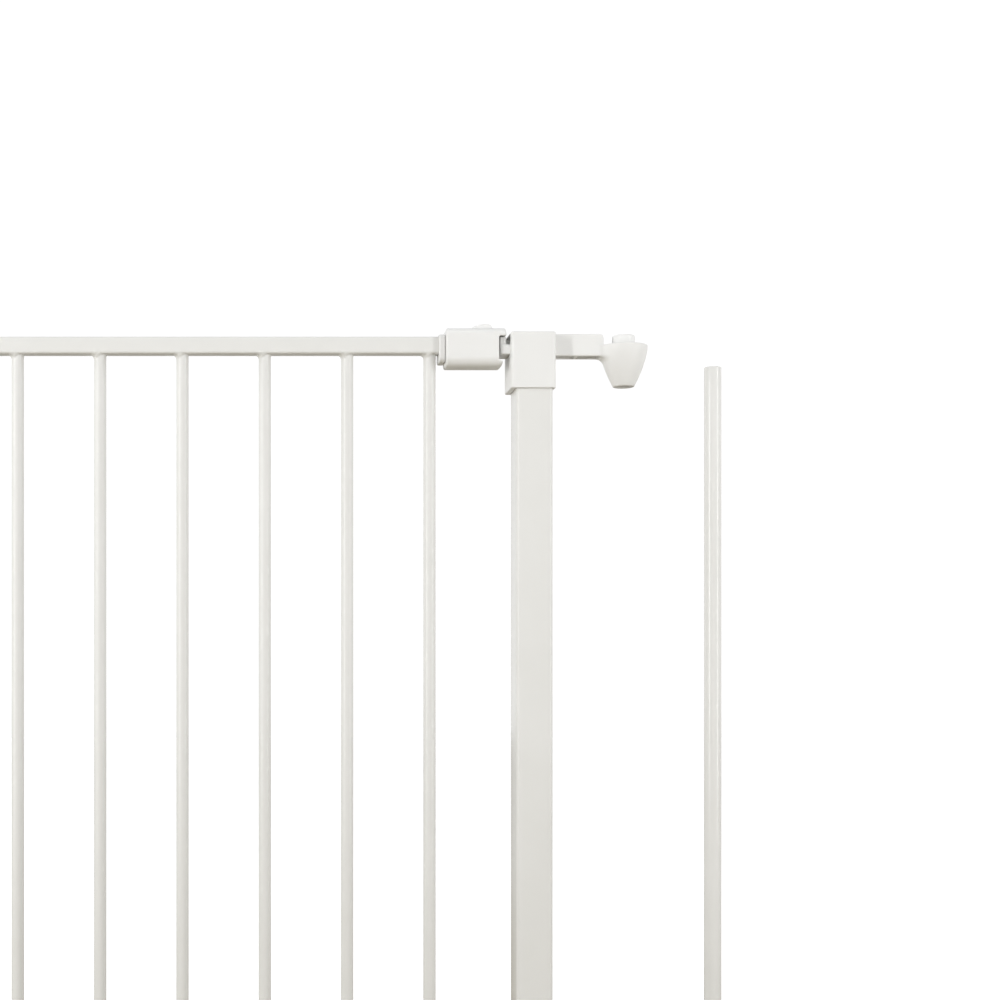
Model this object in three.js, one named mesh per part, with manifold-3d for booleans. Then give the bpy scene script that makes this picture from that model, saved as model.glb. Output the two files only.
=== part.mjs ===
// One section of a configurable steel pet gate, closed and latched, with its loose connecting rod.
// Millimetres. X runs along the gate, -Y is its front, +Z is up. The origin is under the middle of
// the threshold, on the floor.
import * as THREE from 'three';
import { mergeVertices } from 'three/addons/utils/BufferGeometryUtils.js';
import Module from 'manifold-3d';

const wasm = await Module();
wasm.setup();
const { Manifold, Mesh: SolidMesh } = wasm;

// ---- Driving dimensions ------------------------------------------------------------------------
const sectionWidth = 720;      // between the cone axes of the two sides
const gateHeight = 705;        // floor to the top of the post fittings
const clearance = 0.3;         // left between any two pieces
const bury = 1;                // how far a stem, nose or cut runs past the face that it starts on
const edge = 0.8;              // rounding of the edges of the mouldings

const post = { width: 30.5, depth: 34, wall: 1.5, corner: 3 };
const threshold = { depth: 34, height: 15, wall: 1.5, corner: 2.5 };

const cap = { height: 47.3, innerWall: 4.85, outerWall: 2.15, faceWall: 2.3, roof: 3, corner: 2.6 };
const arm = { reach: 78.25, depth: 17, height: 18.9, length: 42.4, wall: 2.4, tipCorner: 3.5 };
const cone = { topRadius: 20.1, bottomRadius: 8.8, height: 34.7, drop: 9.1 };
const rod = { diameter: 14.3, wall: 1.2, length: 678, standOff: 75.8, plugDepth: 12 };
const rodFit = 0.35;           // radial play of the rod in a fitting
const bush = { radius: 9.6, spigotRadius: 9, spigotLength: 9, recess: 0.4 };   // recess: below the arm's top
const footConeGap = 8;         // floor to the lowest point of a foot fitting's cone

const barCount = 6;
const bar = { diameter: 10.5, wall: 1 };
const rail = { size: 14.5, wall: 1.2, corner: 2, topDrop: 1.9 };
const bottomRailHeight = 42;   // floor to the underside of the bottom rail
const lockGap = 1.9;           // last bar to the lock collar
const hingeGap = 15.9;         // face of the hinge side fitting to the hinge axis
const stileGap = 5.5;          // hinge lug to the hinge stile
const railOverhang = 8;        // rail end beyond the hinge axis

const pin = { side: 7, length: 24, fit: 0.3 };
const hingeBush = { radius: 6.5, flangeRadius: 8.5, flange: 1.4 };
const lug = { radius: 10, height: 19.5 };
const socketHalf = { x: 10.5, y: 12 };
const padCorner = 4;           // corners of the hinge socket and the catch cup, seen from above

const collar = { length: 5.5, height: 23.7, depth: 22, corner: 4, axisDrop: 12.3 };
const handle = { length: 50.8, height: 32.2, depth: 30, corner: 9, rim: 1.6, wall: 2.4, rise: 4.2, gap: 3.2 };
const railInLock = 20;         // rail length hidden by the collar and the handle
const bolt = {
  height: 8.4, depth: 16, length: 26, corner: 1.2, drop: 13.7, engagement: 4.3, tailToStem: 5, stemHole: 2,
};
const boltHead = { length: 12.4, depth: 24.2 };
const nose = { length: 5.2, height: 6.4, front: 11.5, back: 4, corner: 1 };   // ends level with the handle
const mouth = { length: 6.3, top: 2.7, bottom: 23.2 };    // heights below the top of the fittings
const boltFit = 0.5;           // play around the bolt
const latchTravel = 8;
const liftTravel = 8;
const slider = { length: 17.7, depth: 13, height: 4.3, ramp: 10, stem: 6, tongue: 5 };
const spring = { radius: 3, wire: 0.8, turns: 4, length: 11.5 };

const catchPin = { radius: 3.5, length: 16 };
const catchCup = { x: 17, y: 26, height: 13 };
const catchInset = 28;         // catch pin to the end of the bottom rail
const bottomRailShort = 12;    // bottom rail end to the inner face of the lock side post fitting

const screw = { head: 3.6, headHeight: 2, shank: 1.7, length: 7 };
const shellScrew = { head: 2.4, headHeight: 1.6, shank: 1.1, length: 9 };
const shellScrewInset = [9, 37];   // from the start of the handle
const plug = { flange: 1.6, depth: 12 };

// ---- Worked out from the above -----------------------------------------------------------------
const postX = sectionWidth / 2 - arm.reach;
const capInnerX = postX - post.width / 2 - cap.innerWall;
const capOuterX = postX + post.width / 2 + cap.outerWall;
const capDepth = post.depth + 2 * cap.faceWall;
const hingeX = hingeGap - capInnerX;
const stileX = hingeX + lug.radius + stileGap + bar.diameter / 2;
const topRailZ = gateHeight - rail.topDrop - rail.size / 2;
const bottomRailZ = bottomRailHeight + rail.size / 2;
const handleEndX = capInnerX - handle.gap;
const handleStartX = handleEndX - handle.length;
const collarStartX = handleStartX - collar.length;
const lastBarX = collarStartX - lockGap - bar.diameter / 2;
const barPitch = (lastBarX - stileX) / barCount;
const handleZ = gateHeight + handle.rise - handle.height / 2;
const boltZ = gateHeight - bolt.drop;
const boltTipX = capInnerX + bolt.engagement;
const boltTailX = boltTipX - bolt.length;
const footHeight = footConeGap + cone.height + cone.drop;
const rodX = sectionWidth / 2 + rod.standOff;
const bottomRailEndX = capInnerX - bottomRailShort;
const catchX = bottomRailEndX - catchInset;
const rodBore = rod.diameter / 2 + rodFit;

// ---- Materials ---------------------------------------------------------------------------------
const finish = (color, roughness, metalness = 0) =>
  new THREE.MeshStandardMaterial({ color, roughness, metalness });
const whiteSteel = finish(0xe6e5e2, 0.42);
const whitePlastic = finish(0xedece9, 0.36);
const nylon = finish(0xdedcd4, 0.5);
const zinc = finish(0xb9bcc0, 0.35, 1);
const springSteel = finish(0x8f9296, 0.3, 1);

// ---- Shapes ------------------------------------------------------------------------------------
// A three.js geometry as a manifold solid: equal points merged, collapsed triangles dropped.
function solid(geometry) {
  const bare = new THREE.BufferGeometry();
  bare.setAttribute('position', geometry.getAttribute('position').clone());
  if (geometry.index) bare.setIndex(geometry.index.clone());
  const merged = mergeVertices(bare, 1e-4);
  const index = merged.index.array;
  const kept = [];
  for (let i = 0; i < index.length; i += 3) {
    const [a, b, c] = [index[i], index[i + 1], index[i + 2]];
    if (a !== b && b !== c && a !== c) kept.push(a, b, c);
  }
  const vertProperties = new Float32Array(merged.getAttribute('position').array);
  return new Manifold(new SolidMesh({ numProp: 3, vertProperties, triVerts: new Uint32Array(kept) }));
}

// Rectangle with rounded corners, as an outline centred on the origin.
function roundedOutline(width, height, corner, Kind = THREE.Shape) {
  const [x, y] = [width / 2, height / 2];
  const r = Math.min(corner, x * 0.99, y * 0.99);
  const outline = new Kind();
  outline.moveTo(-x + r, -y);
  outline.lineTo(x - r, -y);
  outline.absarc(x - r, -y + r, r, -Math.PI / 2, 0);
  outline.lineTo(x, y - r);
  outline.absarc(x - r, y - r, r, 0, Math.PI / 2);
  outline.lineTo(-x + r, y);
  outline.absarc(-x + r, y - r, r, Math.PI / 2, Math.PI);
  outline.lineTo(-x, -y + r);
  outline.absarc(-x + r, -y + r, r, Math.PI, 1.5 * Math.PI);
  return outline;
}

// Carries an outline from z = 0 up to a height; rim is the rounding at both ends.
function extrude(outline, height, rim = 0) {
  const rims = { bevelThickness: rim, bevelSize: rim, bevelOffset: -rim, bevelSegments: 2 };
  const options = { depth: height - 2 * rim, curveSegments: 3, bevelEnabled: rim > 0, ...rims };
  return solid(new THREE.ExtrudeGeometry(outline, options).translate(0, 0, rim));
}

const box = (x, y, z) => solid(new THREE.BoxGeometry(x, y, z));

// Upright cylinder from z = 0 to a height.
const cylinder = (radius, height, sides = 24) =>
  solid(new THREE.CylinderGeometry(radius, radius, height, sides).rotateX(Math.PI / 2)).translate(
    0, 0, height / 2);

// Rectangular tube from z = 0 to a length.
function boxTube(width, depth, length, corner, wall) {
  const outline = roundedOutline(width, depth, corner);
  const inside = roundedOutline(width - 2 * wall, depth - 2 * wall, Math.max(corner - wall, 0.5), THREE.Path);
  outline.holes.push(inside);
  return extrude(outline, length);
}

// Turn an upright solid so that its +Z end points along +X or +Y.
const alongX = (upright) => upright.rotate([0, 90, 0]);
const alongY = (upright) => upright.rotate([-90, 0, 0]);

// A section of the handle, with its wide side across Y and its height along Z, lying along +X.
const handleBar = (height, depth, length, corner, rim = 0) =>
  alongX(extrude(roundedOutline(height, depth, corner), length, rim));

const gate = new THREE.Group();

function add(name, shape, material, x = 0, y = 0, z = 0) {
  const raw = shape.getMesh();
  const geometry = new THREE.BufferGeometry();
  geometry.setAttribute('position', new THREE.BufferAttribute(raw.vertProperties, 3));
  geometry.setIndex(new THREE.BufferAttribute(raw.triVerts, 1));
  geometry.computeVertexNormals();
  const mesh = new THREE.Mesh(geometry, material);
  mesh.name = name;
  mesh.position.set(x, y, z);
  gate.add(mesh);
}

// ---- Fixed frame -------------------------------------------------------------------------------
const postFoot = cap.roof + clearance;
const postHead = gateHeight - cap.roof - clearance;
for (const [side, sign] of [['left', -1], ['right', 1]]) {
  const tube = boxTube(post.width, post.depth, postHead - postFoot, post.corner, post.wall);
  const screwHole = alongY(cylinder(screw.shank + clearance, 2 * post.wall + 2, 12));
  const upperHole = screwHole.translate(0, post.depth / 2 - post.wall - 1, topScrewHeight() - postFoot);
  const lowerHole = screwHole.translate(0, post.depth / 2 - post.wall - 1, footScrewHeight() - postFoot);
  add(`${side}_post`, tube.subtract(upperHole).subtract(lowerHole), whiteSteel, sign * postX, 0, postFoot);
}

// Heights of the screws that hold the fittings to the posts.
function topScrewHeight() {
  return gateHeight - cap.height / 2;
}
function footScrewHeight() {
  return cap.height / 2 + threshold.height / 2;
}

const thresholdEnd = postX - post.width / 2 - clearance;
const sill = alongX(
  boxTube(threshold.height, threshold.depth, 2 * thresholdEnd, threshold.corner, threshold.wall));
const screwSeatHole = cylinder(screw.shank + clearance, threshold.wall + 2, 12);
const sillTop = threshold.height / 2 - threshold.wall - 1;
const socketScrewX = hingeX + socketHalf.x + screw.head + 1;
const cupScrewX = catchX - catchCup.x / 2 - screw.head - 1;
add(
  'threshold',
  sill
    .translate(-thresholdEnd, 0, 0)
    .subtract(screwSeatHole.translate(cupScrewX, 0, sillTop))
    .subtract(screwSeatHole.translate(socketScrewX, 0, sillTop)),
  whiteSteel, 0, 0, threshold.height / 2);

// Cap, arm and cone of a right-hand fitting as one moulding. x = 0 is the post axis, and z = 0 is the
// top of the cap. The cap is closed above and open below, for the post.
const coneX = arm.reach;
const conePoints = [
  [0, 0], [0.93, 0], [1, -0.03], [0.97, -0.15], [0.88, -0.34], [0.745, -0.59], [0.54, -0.88],
];

function coneShell() {
  const profile = conePoints.map(([r, z]) => new THREE.Vector2(r * cone.topRadius, z * cone.height));
  profile.push(new THREE.Vector2(cone.bottomRadius, -cone.height), new THREE.Vector2(0, -cone.height));
  const turned = new THREE.LatheGeometry(profile.reverse(), 32).rotateX(Math.PI / 2);
  return solid(turned).translate(coneX, 0, -cone.drop);
}

// Side view of the arm: flat top, rounded tip, step down to the top of the cone.
function armBody() {
  const start = capOuterX - postX - 1;
  const tip = capOuterX - postX + arm.length;
  const side = new THREE.Shape();
  side.moveTo(start, -arm.height);
  side.lineTo(coneX, -arm.height);
  side.lineTo(coneX, -cone.drop - 1);
  side.lineTo(tip + 1, -cone.drop - 1);
  side.lineTo(tip, -cone.drop + 1);
  side.lineTo(tip, -arm.tipCorner);
  side.absarc(tip - arm.tipCorner, -arm.tipCorner, arm.tipCorner, 0, Math.PI / 2);
  side.lineTo(start, 0);
  return extrude(side, arm.depth, edge).rotate([90, 0, 0]).translate(0, arm.depth / 2, 0);
}

// The arm is moulded hollow, open underneath, with one rib across the hollow.
function armHollow() {
  const start = capOuterX - postX;
  const end = capOuterX - postX + arm.length - arm.wall;
  const width = arm.depth - 2 * arm.wall;
  const height = arm.height - arm.wall;
  const hollow = box(end - start, width, height).translate(
    (start + end) / 2, 0, -arm.wall - height / 2 - 0.01);
  const rib = box(arm.wall, width + 1, height + 1).translate((start + end) / 2, 0, -arm.height / 2);
  return hollow.subtract(rib);
}

function capShell() {
  const width = capOuterX - capInnerX;
  const middle = (capOuterX + capInnerX) / 2 - postX;
  const outside = extrude(roundedOutline(width, capDepth, cap.corner), cap.height, edge);
  const inside = extrude(
    roundedOutline(post.width + 2 * clearance, post.depth + 2 * clearance, post.corner + clearance),
    cap.height);
  return outside.translate(middle, 0, -cap.height).subtract(inside.translate(0, 0, -cap.height - cap.roof));
}

const rodHole = cylinder(rodBore, 2 * cone.height + 20).translate(coneX, 0, -2 * cone.height);
const bushSeat = cylinder(bush.spigotRadius + clearance, bush.spigotLength + clearance + 1).translate(
  coneX, 0, -cone.drop - bush.spigotLength - clearance);

function fittingBlank() {
  const outside = capShell().add(armBody()).add(coneShell());
  return outside.subtract(armHollow()).subtract(rodHole).subtract(bushSeat);
}

const capScrewHole = (height) =>
  alongY(cylinder(screw.shank + clearance, 3 * cap.faceWall, 12))
    .translate(0, post.depth / 2 - cap.faceWall, height);

// Slot in the wall that faces the door. It leaves room for the bolt to rise with the door.
const keeperLow = boltZ - bolt.height / 2 - clearance - gateHeight;
const keeperHeight = bolt.height + liftTravel + 2 * clearance;
const keeperSlot = box(2 * cap.innerWall + 1, boltHead.depth + 2 * clearance, keeperHeight).translate(
  -post.width / 2 - cap.innerWall, 0, keeperLow + keeperHeight / 2);

// Hinge lug for the left cap, drawn on the side that faces the door before the mirror.
const hingeOffset = hingeX + postX;
const lugTop = topRailZ - rail.size / 2 - clearance - hingeBush.flange - clearance - gateHeight;
function hingeLug() {
  const eye = cylinder(lug.radius, lug.height, 28).translate(-hingeOffset, 0, lugTop - lug.height);
  const reach = hingeGap + 1;
  const neck = box(reach, 2 * lug.radius - 3, lug.height).translate(
    reach / 2 - hingeOffset, 0, lugTop - lug.height / 2);
  return eye.add(neck);
}
const hingeBore = cylinder(hingeBush.radius + clearance, 3 * lug.height).translate(
  -hingeOffset, 0, lugTop - 2 * lug.height);

const topScrew = topScrewHeight() - gateHeight;
const topFitting = fittingBlank().subtract(capScrewHole(topScrew));
add('top_right_fitting', topFitting.subtract(keeperSlot), whitePlastic, postX, 0, gateHeight);
add(
  'top_left_fitting',
  topFitting.add(hingeLug()).subtract(hingeBore).mirror([1, 0, 0]),
  whitePlastic, -postX, 0, gateHeight);

// The foot fitting has the same arm and cone, at the top edge of a cup that is closed below.
function footFitting() {
  const width = capOuterX - capInnerX;
  const middle = (capOuterX + capInnerX) / 2 - postX;
  const outside = extrude(roundedOutline(width, capDepth, cap.corner), footHeight, edge);
  const inside = extrude(
    roundedOutline(post.width + 2 * clearance, post.depth + 2 * clearance, post.corner + clearance),
    footHeight);
  const notch = box(post.width, threshold.depth + 2 * clearance, threshold.height + clearance).translate(
    -post.width, 0, (threshold.height + clearance) / 2);
  const moulded = outside
    .translate(middle, 0, 0)
    .add(armBody().translate(0, 0, footHeight))
    .add(coneShell().translate(0, 0, footHeight));
  return moulded
    .subtract(inside.translate(0, 0, cap.roof))
    .subtract(notch)
    .subtract(armHollow().translate(0, 0, footHeight))
    .subtract(rodHole.translate(0, 0, footHeight))
    .subtract(bushSeat.translate(0, 0, footHeight))
    .subtract(capScrewHole(footScrewHeight()));
}
add('bottom_right_fitting', footFitting(), whitePlastic, postX, 0, 0);
add('bottom_left_fitting', footFitting().mirror([1, 0, 0]), whitePlastic, -postX, 0, 0);

// Round bush in the top of each cone; its collar stands level with the arm.
function rodBush() {
  const head = cylinder(bush.radius, cone.drop - clearance - bush.recess, 32);
  const spigot = cylinder(bush.spigotRadius, bush.spigotLength + 0.5, 32).translate(0, 0, -bush.spigotLength);
  return head.add(spigot).subtract(cylinder(rodBore, 4 * cone.drop, 32).translate(0, 0, -2 * cone.drop));
}
for (const [level, top] of [['top', gateHeight], ['bottom', footHeight]]) {
  for (const [side, sign] of [['left', -1], ['right', 1]]) {
    const seat = top - cone.drop + clearance;
    add(`${level}_${side}_rod_bush`, rodBush(), whitePlastic, sign * sectionWidth / 2, 0, seat);
  }
}

// Pan-head screw standing upright: the head's seat is z = 0 and the shank points down.
const panScrew = (size) =>
  cylinder(size.head, size.headHeight, 16)
    .add(cylinder(size.shank, size.length + 0.2, 12).translate(0, 0, -size.length))
    .subtract(box(1.2, 2 * size.head + 1, size.headHeight).translate(0, 0, size.headHeight));
const screwFromBack = (size) => alongY(panScrew(size));
for (const [level, z] of [['top', topScrewHeight()], ['bottom', footScrewHeight()]]) {
  for (const [side, sign] of [['left', -1], ['right', 1]]) {
    const back = capDepth / 2 + clearance;
    add(`${level}_${side}_fitting_screw`, screwFromBack(screw), zinc, sign * postX, back, z);
  }
}

// ---- Lower hinge socket and catch cup on the threshold -----------------------------------------
const padZ = threshold.height + clearance;
const socketTop = bottomRailHeight - 2 * clearance - hingeBush.flange;
const socketHeight = socketTop - padZ;
const tab = { length: 2 * screw.head + 3, width: 16, height: 4, lap: 2 };
const screwTab = box(tab.length + tab.lap, tab.width, tab.height).translate(0, 0, tab.height / 2);
const tabCentre = (tab.length - tab.lap) / 2;
const socketShape = extrude(roundedOutline(2 * socketHalf.x, 2 * socketHalf.y, padCorner), socketHeight, edge)
  .add(screwTab.translate(socketHalf.x + tabCentre, 0, 0))
  .subtract(cylinder(hingeBush.radius + clearance, socketHeight + 2).translate(0, 0, 2))
  .subtract(cylinder(screw.shank + clearance, 20, 12).translate(socketScrewX - hingeX, 0, -5));
add('lower_hinge_socket', socketShape, whitePlastic, hingeX, 0, padZ);
add('socket_screw', panScrew(screw), zinc, socketScrewX, 0, padZ + tab.height + clearance);

const cupHole = catchPin.radius + 0.8;
const cupShape = extrude(roundedOutline(catchCup.x, catchCup.y, padCorner), catchCup.height, edge)
  .add(screwTab.translate(-catchCup.x / 2 - tabCentre, 0, 0))
  .subtract(cylinder(cupHole, catchCup.height).translate(0, 0, 3))
  .subtract(cylinder(screw.shank + clearance, 20, 12).translate(cupScrewX - catchX, 0, -5));
add('catch_cup', cupShape, whitePlastic, catchX, 0, padZ);
add('catch_screw', panScrew(screw), zinc, cupScrewX, 0, padZ + tab.height + clearance);

// ---- Hinge bushes: round outside, square inside, so that they turn with the pins ----------------
const pinHole = pin.side + 2 * pin.fit;
function hingeSleeve(length) {
  return cylinder(hingeBush.flangeRadius, hingeBush.flange, 28)
    .add(cylinder(hingeBush.radius, length + 0.2, 28).translate(0, 0, -length))
    .subtract(box(pinHole, pinHole, 4 * length));
}
const upperLugTop = gateHeight + lugTop;
add('upper_hinge_bush', hingeSleeve(lug.height - 1), nylon, hingeX, 0, upperLugTop + clearance);
add('lower_hinge_bush', hingeSleeve(socketHeight - 3), nylon, hingeX, 0, socketTop + clearance);

// ---- Door: rails, bars, stile, pins, plugs -----------------------------------------------------
const railStartX = hingeX - railOverhang;
const pinUp = rail.size - rail.wall - clearance;
const lowerPinLength = Math.min(pin.length, socketHeight - 3);
const pinOpening = box(pinHole, pinHole, 2 * rail.wall + 1).translate(hingeX, 0, -rail.size / 2);

function doorRail(endX) {
  const tube = alongX(boxTube(rail.size, rail.size, endX - railStartX, rail.corner, rail.wall));
  return tube.translate(railStartX, 0, 0).subtract(pinOpening);
}
const topRailEnd = collarStartX + railInLock;
add('top_rail', doorRail(topRailEnd), whiteSteel, 0, 0, topRailZ);
const catchOpening = cylinder(catchPin.radius + clearance, 2 * rail.wall + 1).translate(
  catchX, 0, -rail.size / 2 - rail.wall);
add('bottom_rail', doorRail(bottomRailEndX).subtract(catchOpening), whiteSteel, 0, 0, bottomRailZ);

const uprightFoot = bottomRailHeight + rail.size + clearance;
const uprightLength = topRailZ - rail.size / 2 - clearance - uprightFoot;
const upright = () => {
  const skin = cylinder(bar.diameter / 2, uprightLength);
  return skin.subtract(cylinder(bar.diameter / 2 - bar.wall, uprightLength + 2).translate(0, 0, -1));
};
add('hinge_stile', upright(), whiteSteel, stileX, 0, uprightFoot);
for (let i = 1; i <= barCount; i += 1) {
  add(`bar_${i}`, upright(), whiteSteel, stileX + i * barPitch, 0, uprightFoot);
}

const hingePin = (below) =>
  box(pin.side, pin.side, below + pinUp).translate(0, 0, (pinUp - below) / 2 + rail.wall / 2);
add('upper_hinge_pin', hingePin(pin.length - 4), zinc, hingeX, 0, topRailZ - rail.size / 2 - rail.wall / 2);
add('lower_hinge_pin', hingePin(lowerPinLength), zinc, hingeX, 0, bottomRailHeight - rail.wall / 2);

// Plugs close the open rail ends: a rim on the end and a stub inside the tube.
const stubSide = rail.size - 2 * rail.wall - 2 * clearance;
const stubDepth = Math.min(plug.depth, railOverhang - pin.side / 2 - 2 * clearance);
function railPlug(depth) {
  const rim = extrude(roundedOutline(rail.size, rail.size, rail.corner), plug.flange, 0.4);
  const stub = extrude(roundedOutline(stubSide, stubSide, 0.8), depth).translate(0, 0, -depth + 0.1);
  return alongX(rim.add(stub));
}
for (const [name, z] of [['top_rail_plug', topRailZ], ['bottom_rail_hinge_plug', bottomRailZ]]) {
  add(name, railPlug(stubDepth).mirror([1, 0, 0]), whitePlastic, railStartX - clearance, 0, z);
}
add('bottom_rail_lock_plug', railPlug(plug.depth), whitePlastic, bottomRailEndX + clearance, 0, bottomRailZ);

// Catch pin through the bottom rail's underside, into the cup on the threshold.
const catchPinUp = rail.size - rail.wall - 1;
add(
  'catch_pin',
  cylinder(catchPin.radius, catchPin.length + catchPinUp).translate(0, 0, -catchPin.length),
  zinc, catchX, 0, bottomRailHeight);

// ---- Lock --------------------------------------------------------------------------------------
const collarShape = handleBar(
  collar.height, collar.depth, collar.length - clearance, collar.corner, edge);
const railPassage = box(3 * collar.length, rail.size + 2 * clearance, rail.size + 2 * clearance).translate(
  0, 0, collar.axisDrop - (gateHeight - topRailZ));
add(
  'lock_collar', collarShape.subtract(railPassage), whitePlastic,
  collarStartX, 0, gateHeight - collar.axisDrop);

// Outside of the handle less its hollow, the mouth for the bolt and the slot for the slider's stem.
const sliderStemX = boltTailX + bolt.tailToStem;
const mouthHeight = mouth.bottom - mouth.top;
const mouthZ = gateHeight - (mouth.top + mouth.bottom) / 2;
function handleShell() {
  const outside = handleBar(handle.height, handle.depth, handle.length, handle.corner, handle.rim);
  const hollow = handleBar(
    handle.height - 2 * handle.wall, handle.depth - 2 * handle.wall, handle.length - 2 * handle.wall,
    handle.corner - handle.wall);
  const railHole = box(4 * handle.wall, rail.size + 2 * clearance, rail.size + 2 * clearance);
  const mouthCut = box(2 * mouth.length, handle.depth + 2, mouthHeight);
  const stemSlot = box(
    slider.stem + latchTravel + 2 * boltFit, slider.stem + 2 * boltFit, 3 * handle.wall);
  return outside
    .subtract(hollow.translate(handle.wall, 0, 0))
    .subtract(railHole.translate(0, 0, topRailZ - handleZ))
    .subtract(mouthCut.translate(handle.length, 0, mouthZ - handleZ))
    .subtract(stemSlot.translate(sliderStemX - latchTravel / 2 - handleStartX, 0, handle.height / 2));
}

const halfSpace = (sign) => box(400, 200, 200).translate(0, sign * (100 + clearance / 2), 0);
const bossRadius = shellScrew.head + 0.3;
const shellScrewZ = -handle.height / 2 + handle.wall + bossRadius + clearance;
const shellScrewSeat = 4;      // depth of the counterbore in the back shell

// A boss in each half for each shell screw; the back half has a counterbored hole for the head.
const bossInset = 3.2;         // keeps a boss inside the handle's lower round corner
const bossLength = handle.depth / 2 - clearance / 2 - bossInset;
function halfShell(sign) {
  let shell = handleShell().intersect(halfSpace(sign));
  for (const x of shellScrewInset) {
    const boss = alongY(cylinder(bossRadius, bossLength, 16));
    const start = sign < 0 ? -handle.depth / 2 + bossInset : clearance / 2;
    shell = shell.add(boss.translate(x, start, shellScrewZ));
  }
  return shell;
}
function frontShell() {
  const hole = alongY(cylinder(shellScrew.shank + clearance, shellScrew.length, 12));
  const start = handle.depth / 2 - shellScrewSeat - shellScrew.length - 0.5;
  return shellScrewInset.reduce((s, x) => s.subtract(hole.translate(x, start, shellScrewZ)), halfShell(-1));
}
function backShell() {
  const hole = alongY(cylinder(shellScrew.shank + clearance, handle.depth, 12));
  const counterbore = alongY(cylinder(shellScrew.head, handle.depth, 16));
  return shellScrewInset.reduce((s, x) => s
    .subtract(hole.translate(x, 0, shellScrewZ))
    .subtract(counterbore.translate(x, handle.depth / 2 - shellScrewSeat, shellScrewZ)), halfShell(1));
}
add('handle_front_shell', frontShell(), whitePlastic, handleStartX, 0, handleZ);
add('handle_back_shell', backShell(), whitePlastic, handleStartX, 0, handleZ);
shellScrewInset.forEach((x, i) => {
  const y = handle.depth / 2 - shellScrewSeat + clearance;
  const headed = { ...shellScrew, head: shellScrew.head - clearance };
  add(`handle_screw_${i + 1}`, screwFromBack(headed), zinc, handleStartX + x, y, handleZ + shellScrewZ);
});

// Core: a stub in the end of the top rail, and a channel that guides the bolt and holds the spring.
// It ends short of the mouth by the bolt's travel, so that the bolt's head can be drawn in.
const coreCeiling = 5.6;       // over the bolt
const coreStart = topRailEnd + clearance;
const coreEnd = handleEndX - mouth.length - latchTravel - clearance;
const coreFloor = 1.2;         // under the bolt
const coreFoot = boltZ - bolt.height / 2 - boltFit - coreFloor;
const coreHeight = boltZ + bolt.height / 2 + coreCeiling - coreFoot;
const coreDepth = handle.depth - 2 * handle.wall - 2 * clearance;
const springSeatX = boltTailX - spring.length - 2 * clearance;
const coreShape = () => {
  const width = coreEnd - coreStart;
  const body = box(width, coreDepth, coreHeight).translate(
    coreStart + width / 2, 0, coreFoot + coreHeight / 2);
  const stub = alongX(extrude(roundedOutline(stubSide, stubSide, edge), plug.depth + bury)).translate(
    coreStart - plug.depth, 0, topRailZ);
  const channelLength = coreEnd - springSeatX + bury;
  const channel = box(channelLength, bolt.depth + 2 * boltFit, bolt.height + 2 * boltFit).translate(
    springSeatX + channelLength / 2, 0, boltZ);
  const slotStart = sliderStemX - slider.stem / 2 - latchTravel - boltFit;
  const slotLength = coreEnd - slotStart + bury;
  const topSlot = box(slotLength, slider.stem + 2 * boltFit, coreHeight).translate(
    slotStart + slotLength / 2, 0, boltZ + coreHeight / 2);
  return body.add(stub).subtract(channel).subtract(topSlot);
};
add('lock_core', coreShape(), whitePlastic);

// Bolt: a slim tail, a head as wide as the handle's inside, and a nose that stands on the head.
const boltShape = () => {
  const boltTop = boltZ + bolt.height / 2;
  const tail = handleBar(bolt.height, bolt.depth, bolt.length - bury, bolt.corner, edge).translate(
    boltTailX, 0, boltZ);
  const head = handleBar(bolt.height, boltHead.depth, boltHead.length, bolt.corner, edge).translate(
    boltTipX - boltHead.length, 0, boltZ);
  const holeSide = slider.stem / 2 + 2 * clearance;
  const stemHole = box(holeSide, holeSide, bolt.height).translate(sliderStemX, 0, boltTop - bolt.stemHole);
  const noseX = handleEndX - nose.length / 2;
  const noseOutline = roundedOutline(nose.length, nose.front + nose.back, nose.corner);
  const noseBlock = extrude(noseOutline, nose.height + bury, edge / 2).translate(
    noseX, (nose.back - nose.front) / 2, boltTop - bury);
  return tail.add(head).add(noseBlock).subtract(stemHole);
};
add('latch_bolt', boltShape(), whitePlastic);

// Thumb slider: a wedge on top of the handle, with a stem through the slots into the bolt.
function thumbSlider() {
  const wedge = new THREE.Shape();
  wedge.moveTo(0, 0);
  wedge.lineTo(slider.length, 0);
  wedge.lineTo(slider.length, 0.8);
  wedge.lineTo(slider.length - 2.6, slider.height - 0.5);
  wedge.lineTo(slider.length - 4, slider.height);
  wedge.lineTo(slider.ramp, slider.height);
  wedge.lineTo(slider.ramp - 3, slider.height - 0.8);
  wedge.lineTo(0, 1);
  const cheek = extrude(wedge, slider.depth, edge / 2).rotate([90, 0, 0]).translate(0, slider.depth / 2, 0);
  const base = gateHeight + handle.rise + clearance;
  const stemTop = base + bury;
  const stemFoot = boltZ + bolt.height / 2 + clearance;
  const stemMiddle = (stemTop + stemFoot) / 2 - base;
  const stem = box(slider.stem, slider.stem, stemTop - stemFoot).translate(0, 0, stemMiddle);
  const tongue = box(slider.stem / 2, slider.stem / 2, slider.tongue).translate(0, 0, stemFoot - base - edge);
  const stemAt = sliderStemX - sliderStartX;
  return cheek.add(stem.translate(stemAt, 0, 0)).add(tongue.translate(stemAt, 0, 0));
}
const sliderStartX = sliderStemX - slider.length + slider.stem / 2;
add('thumb_slider', thumbSlider(), whitePlastic, sliderStartX, 0, gateHeight + handle.rise + clearance);

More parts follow.
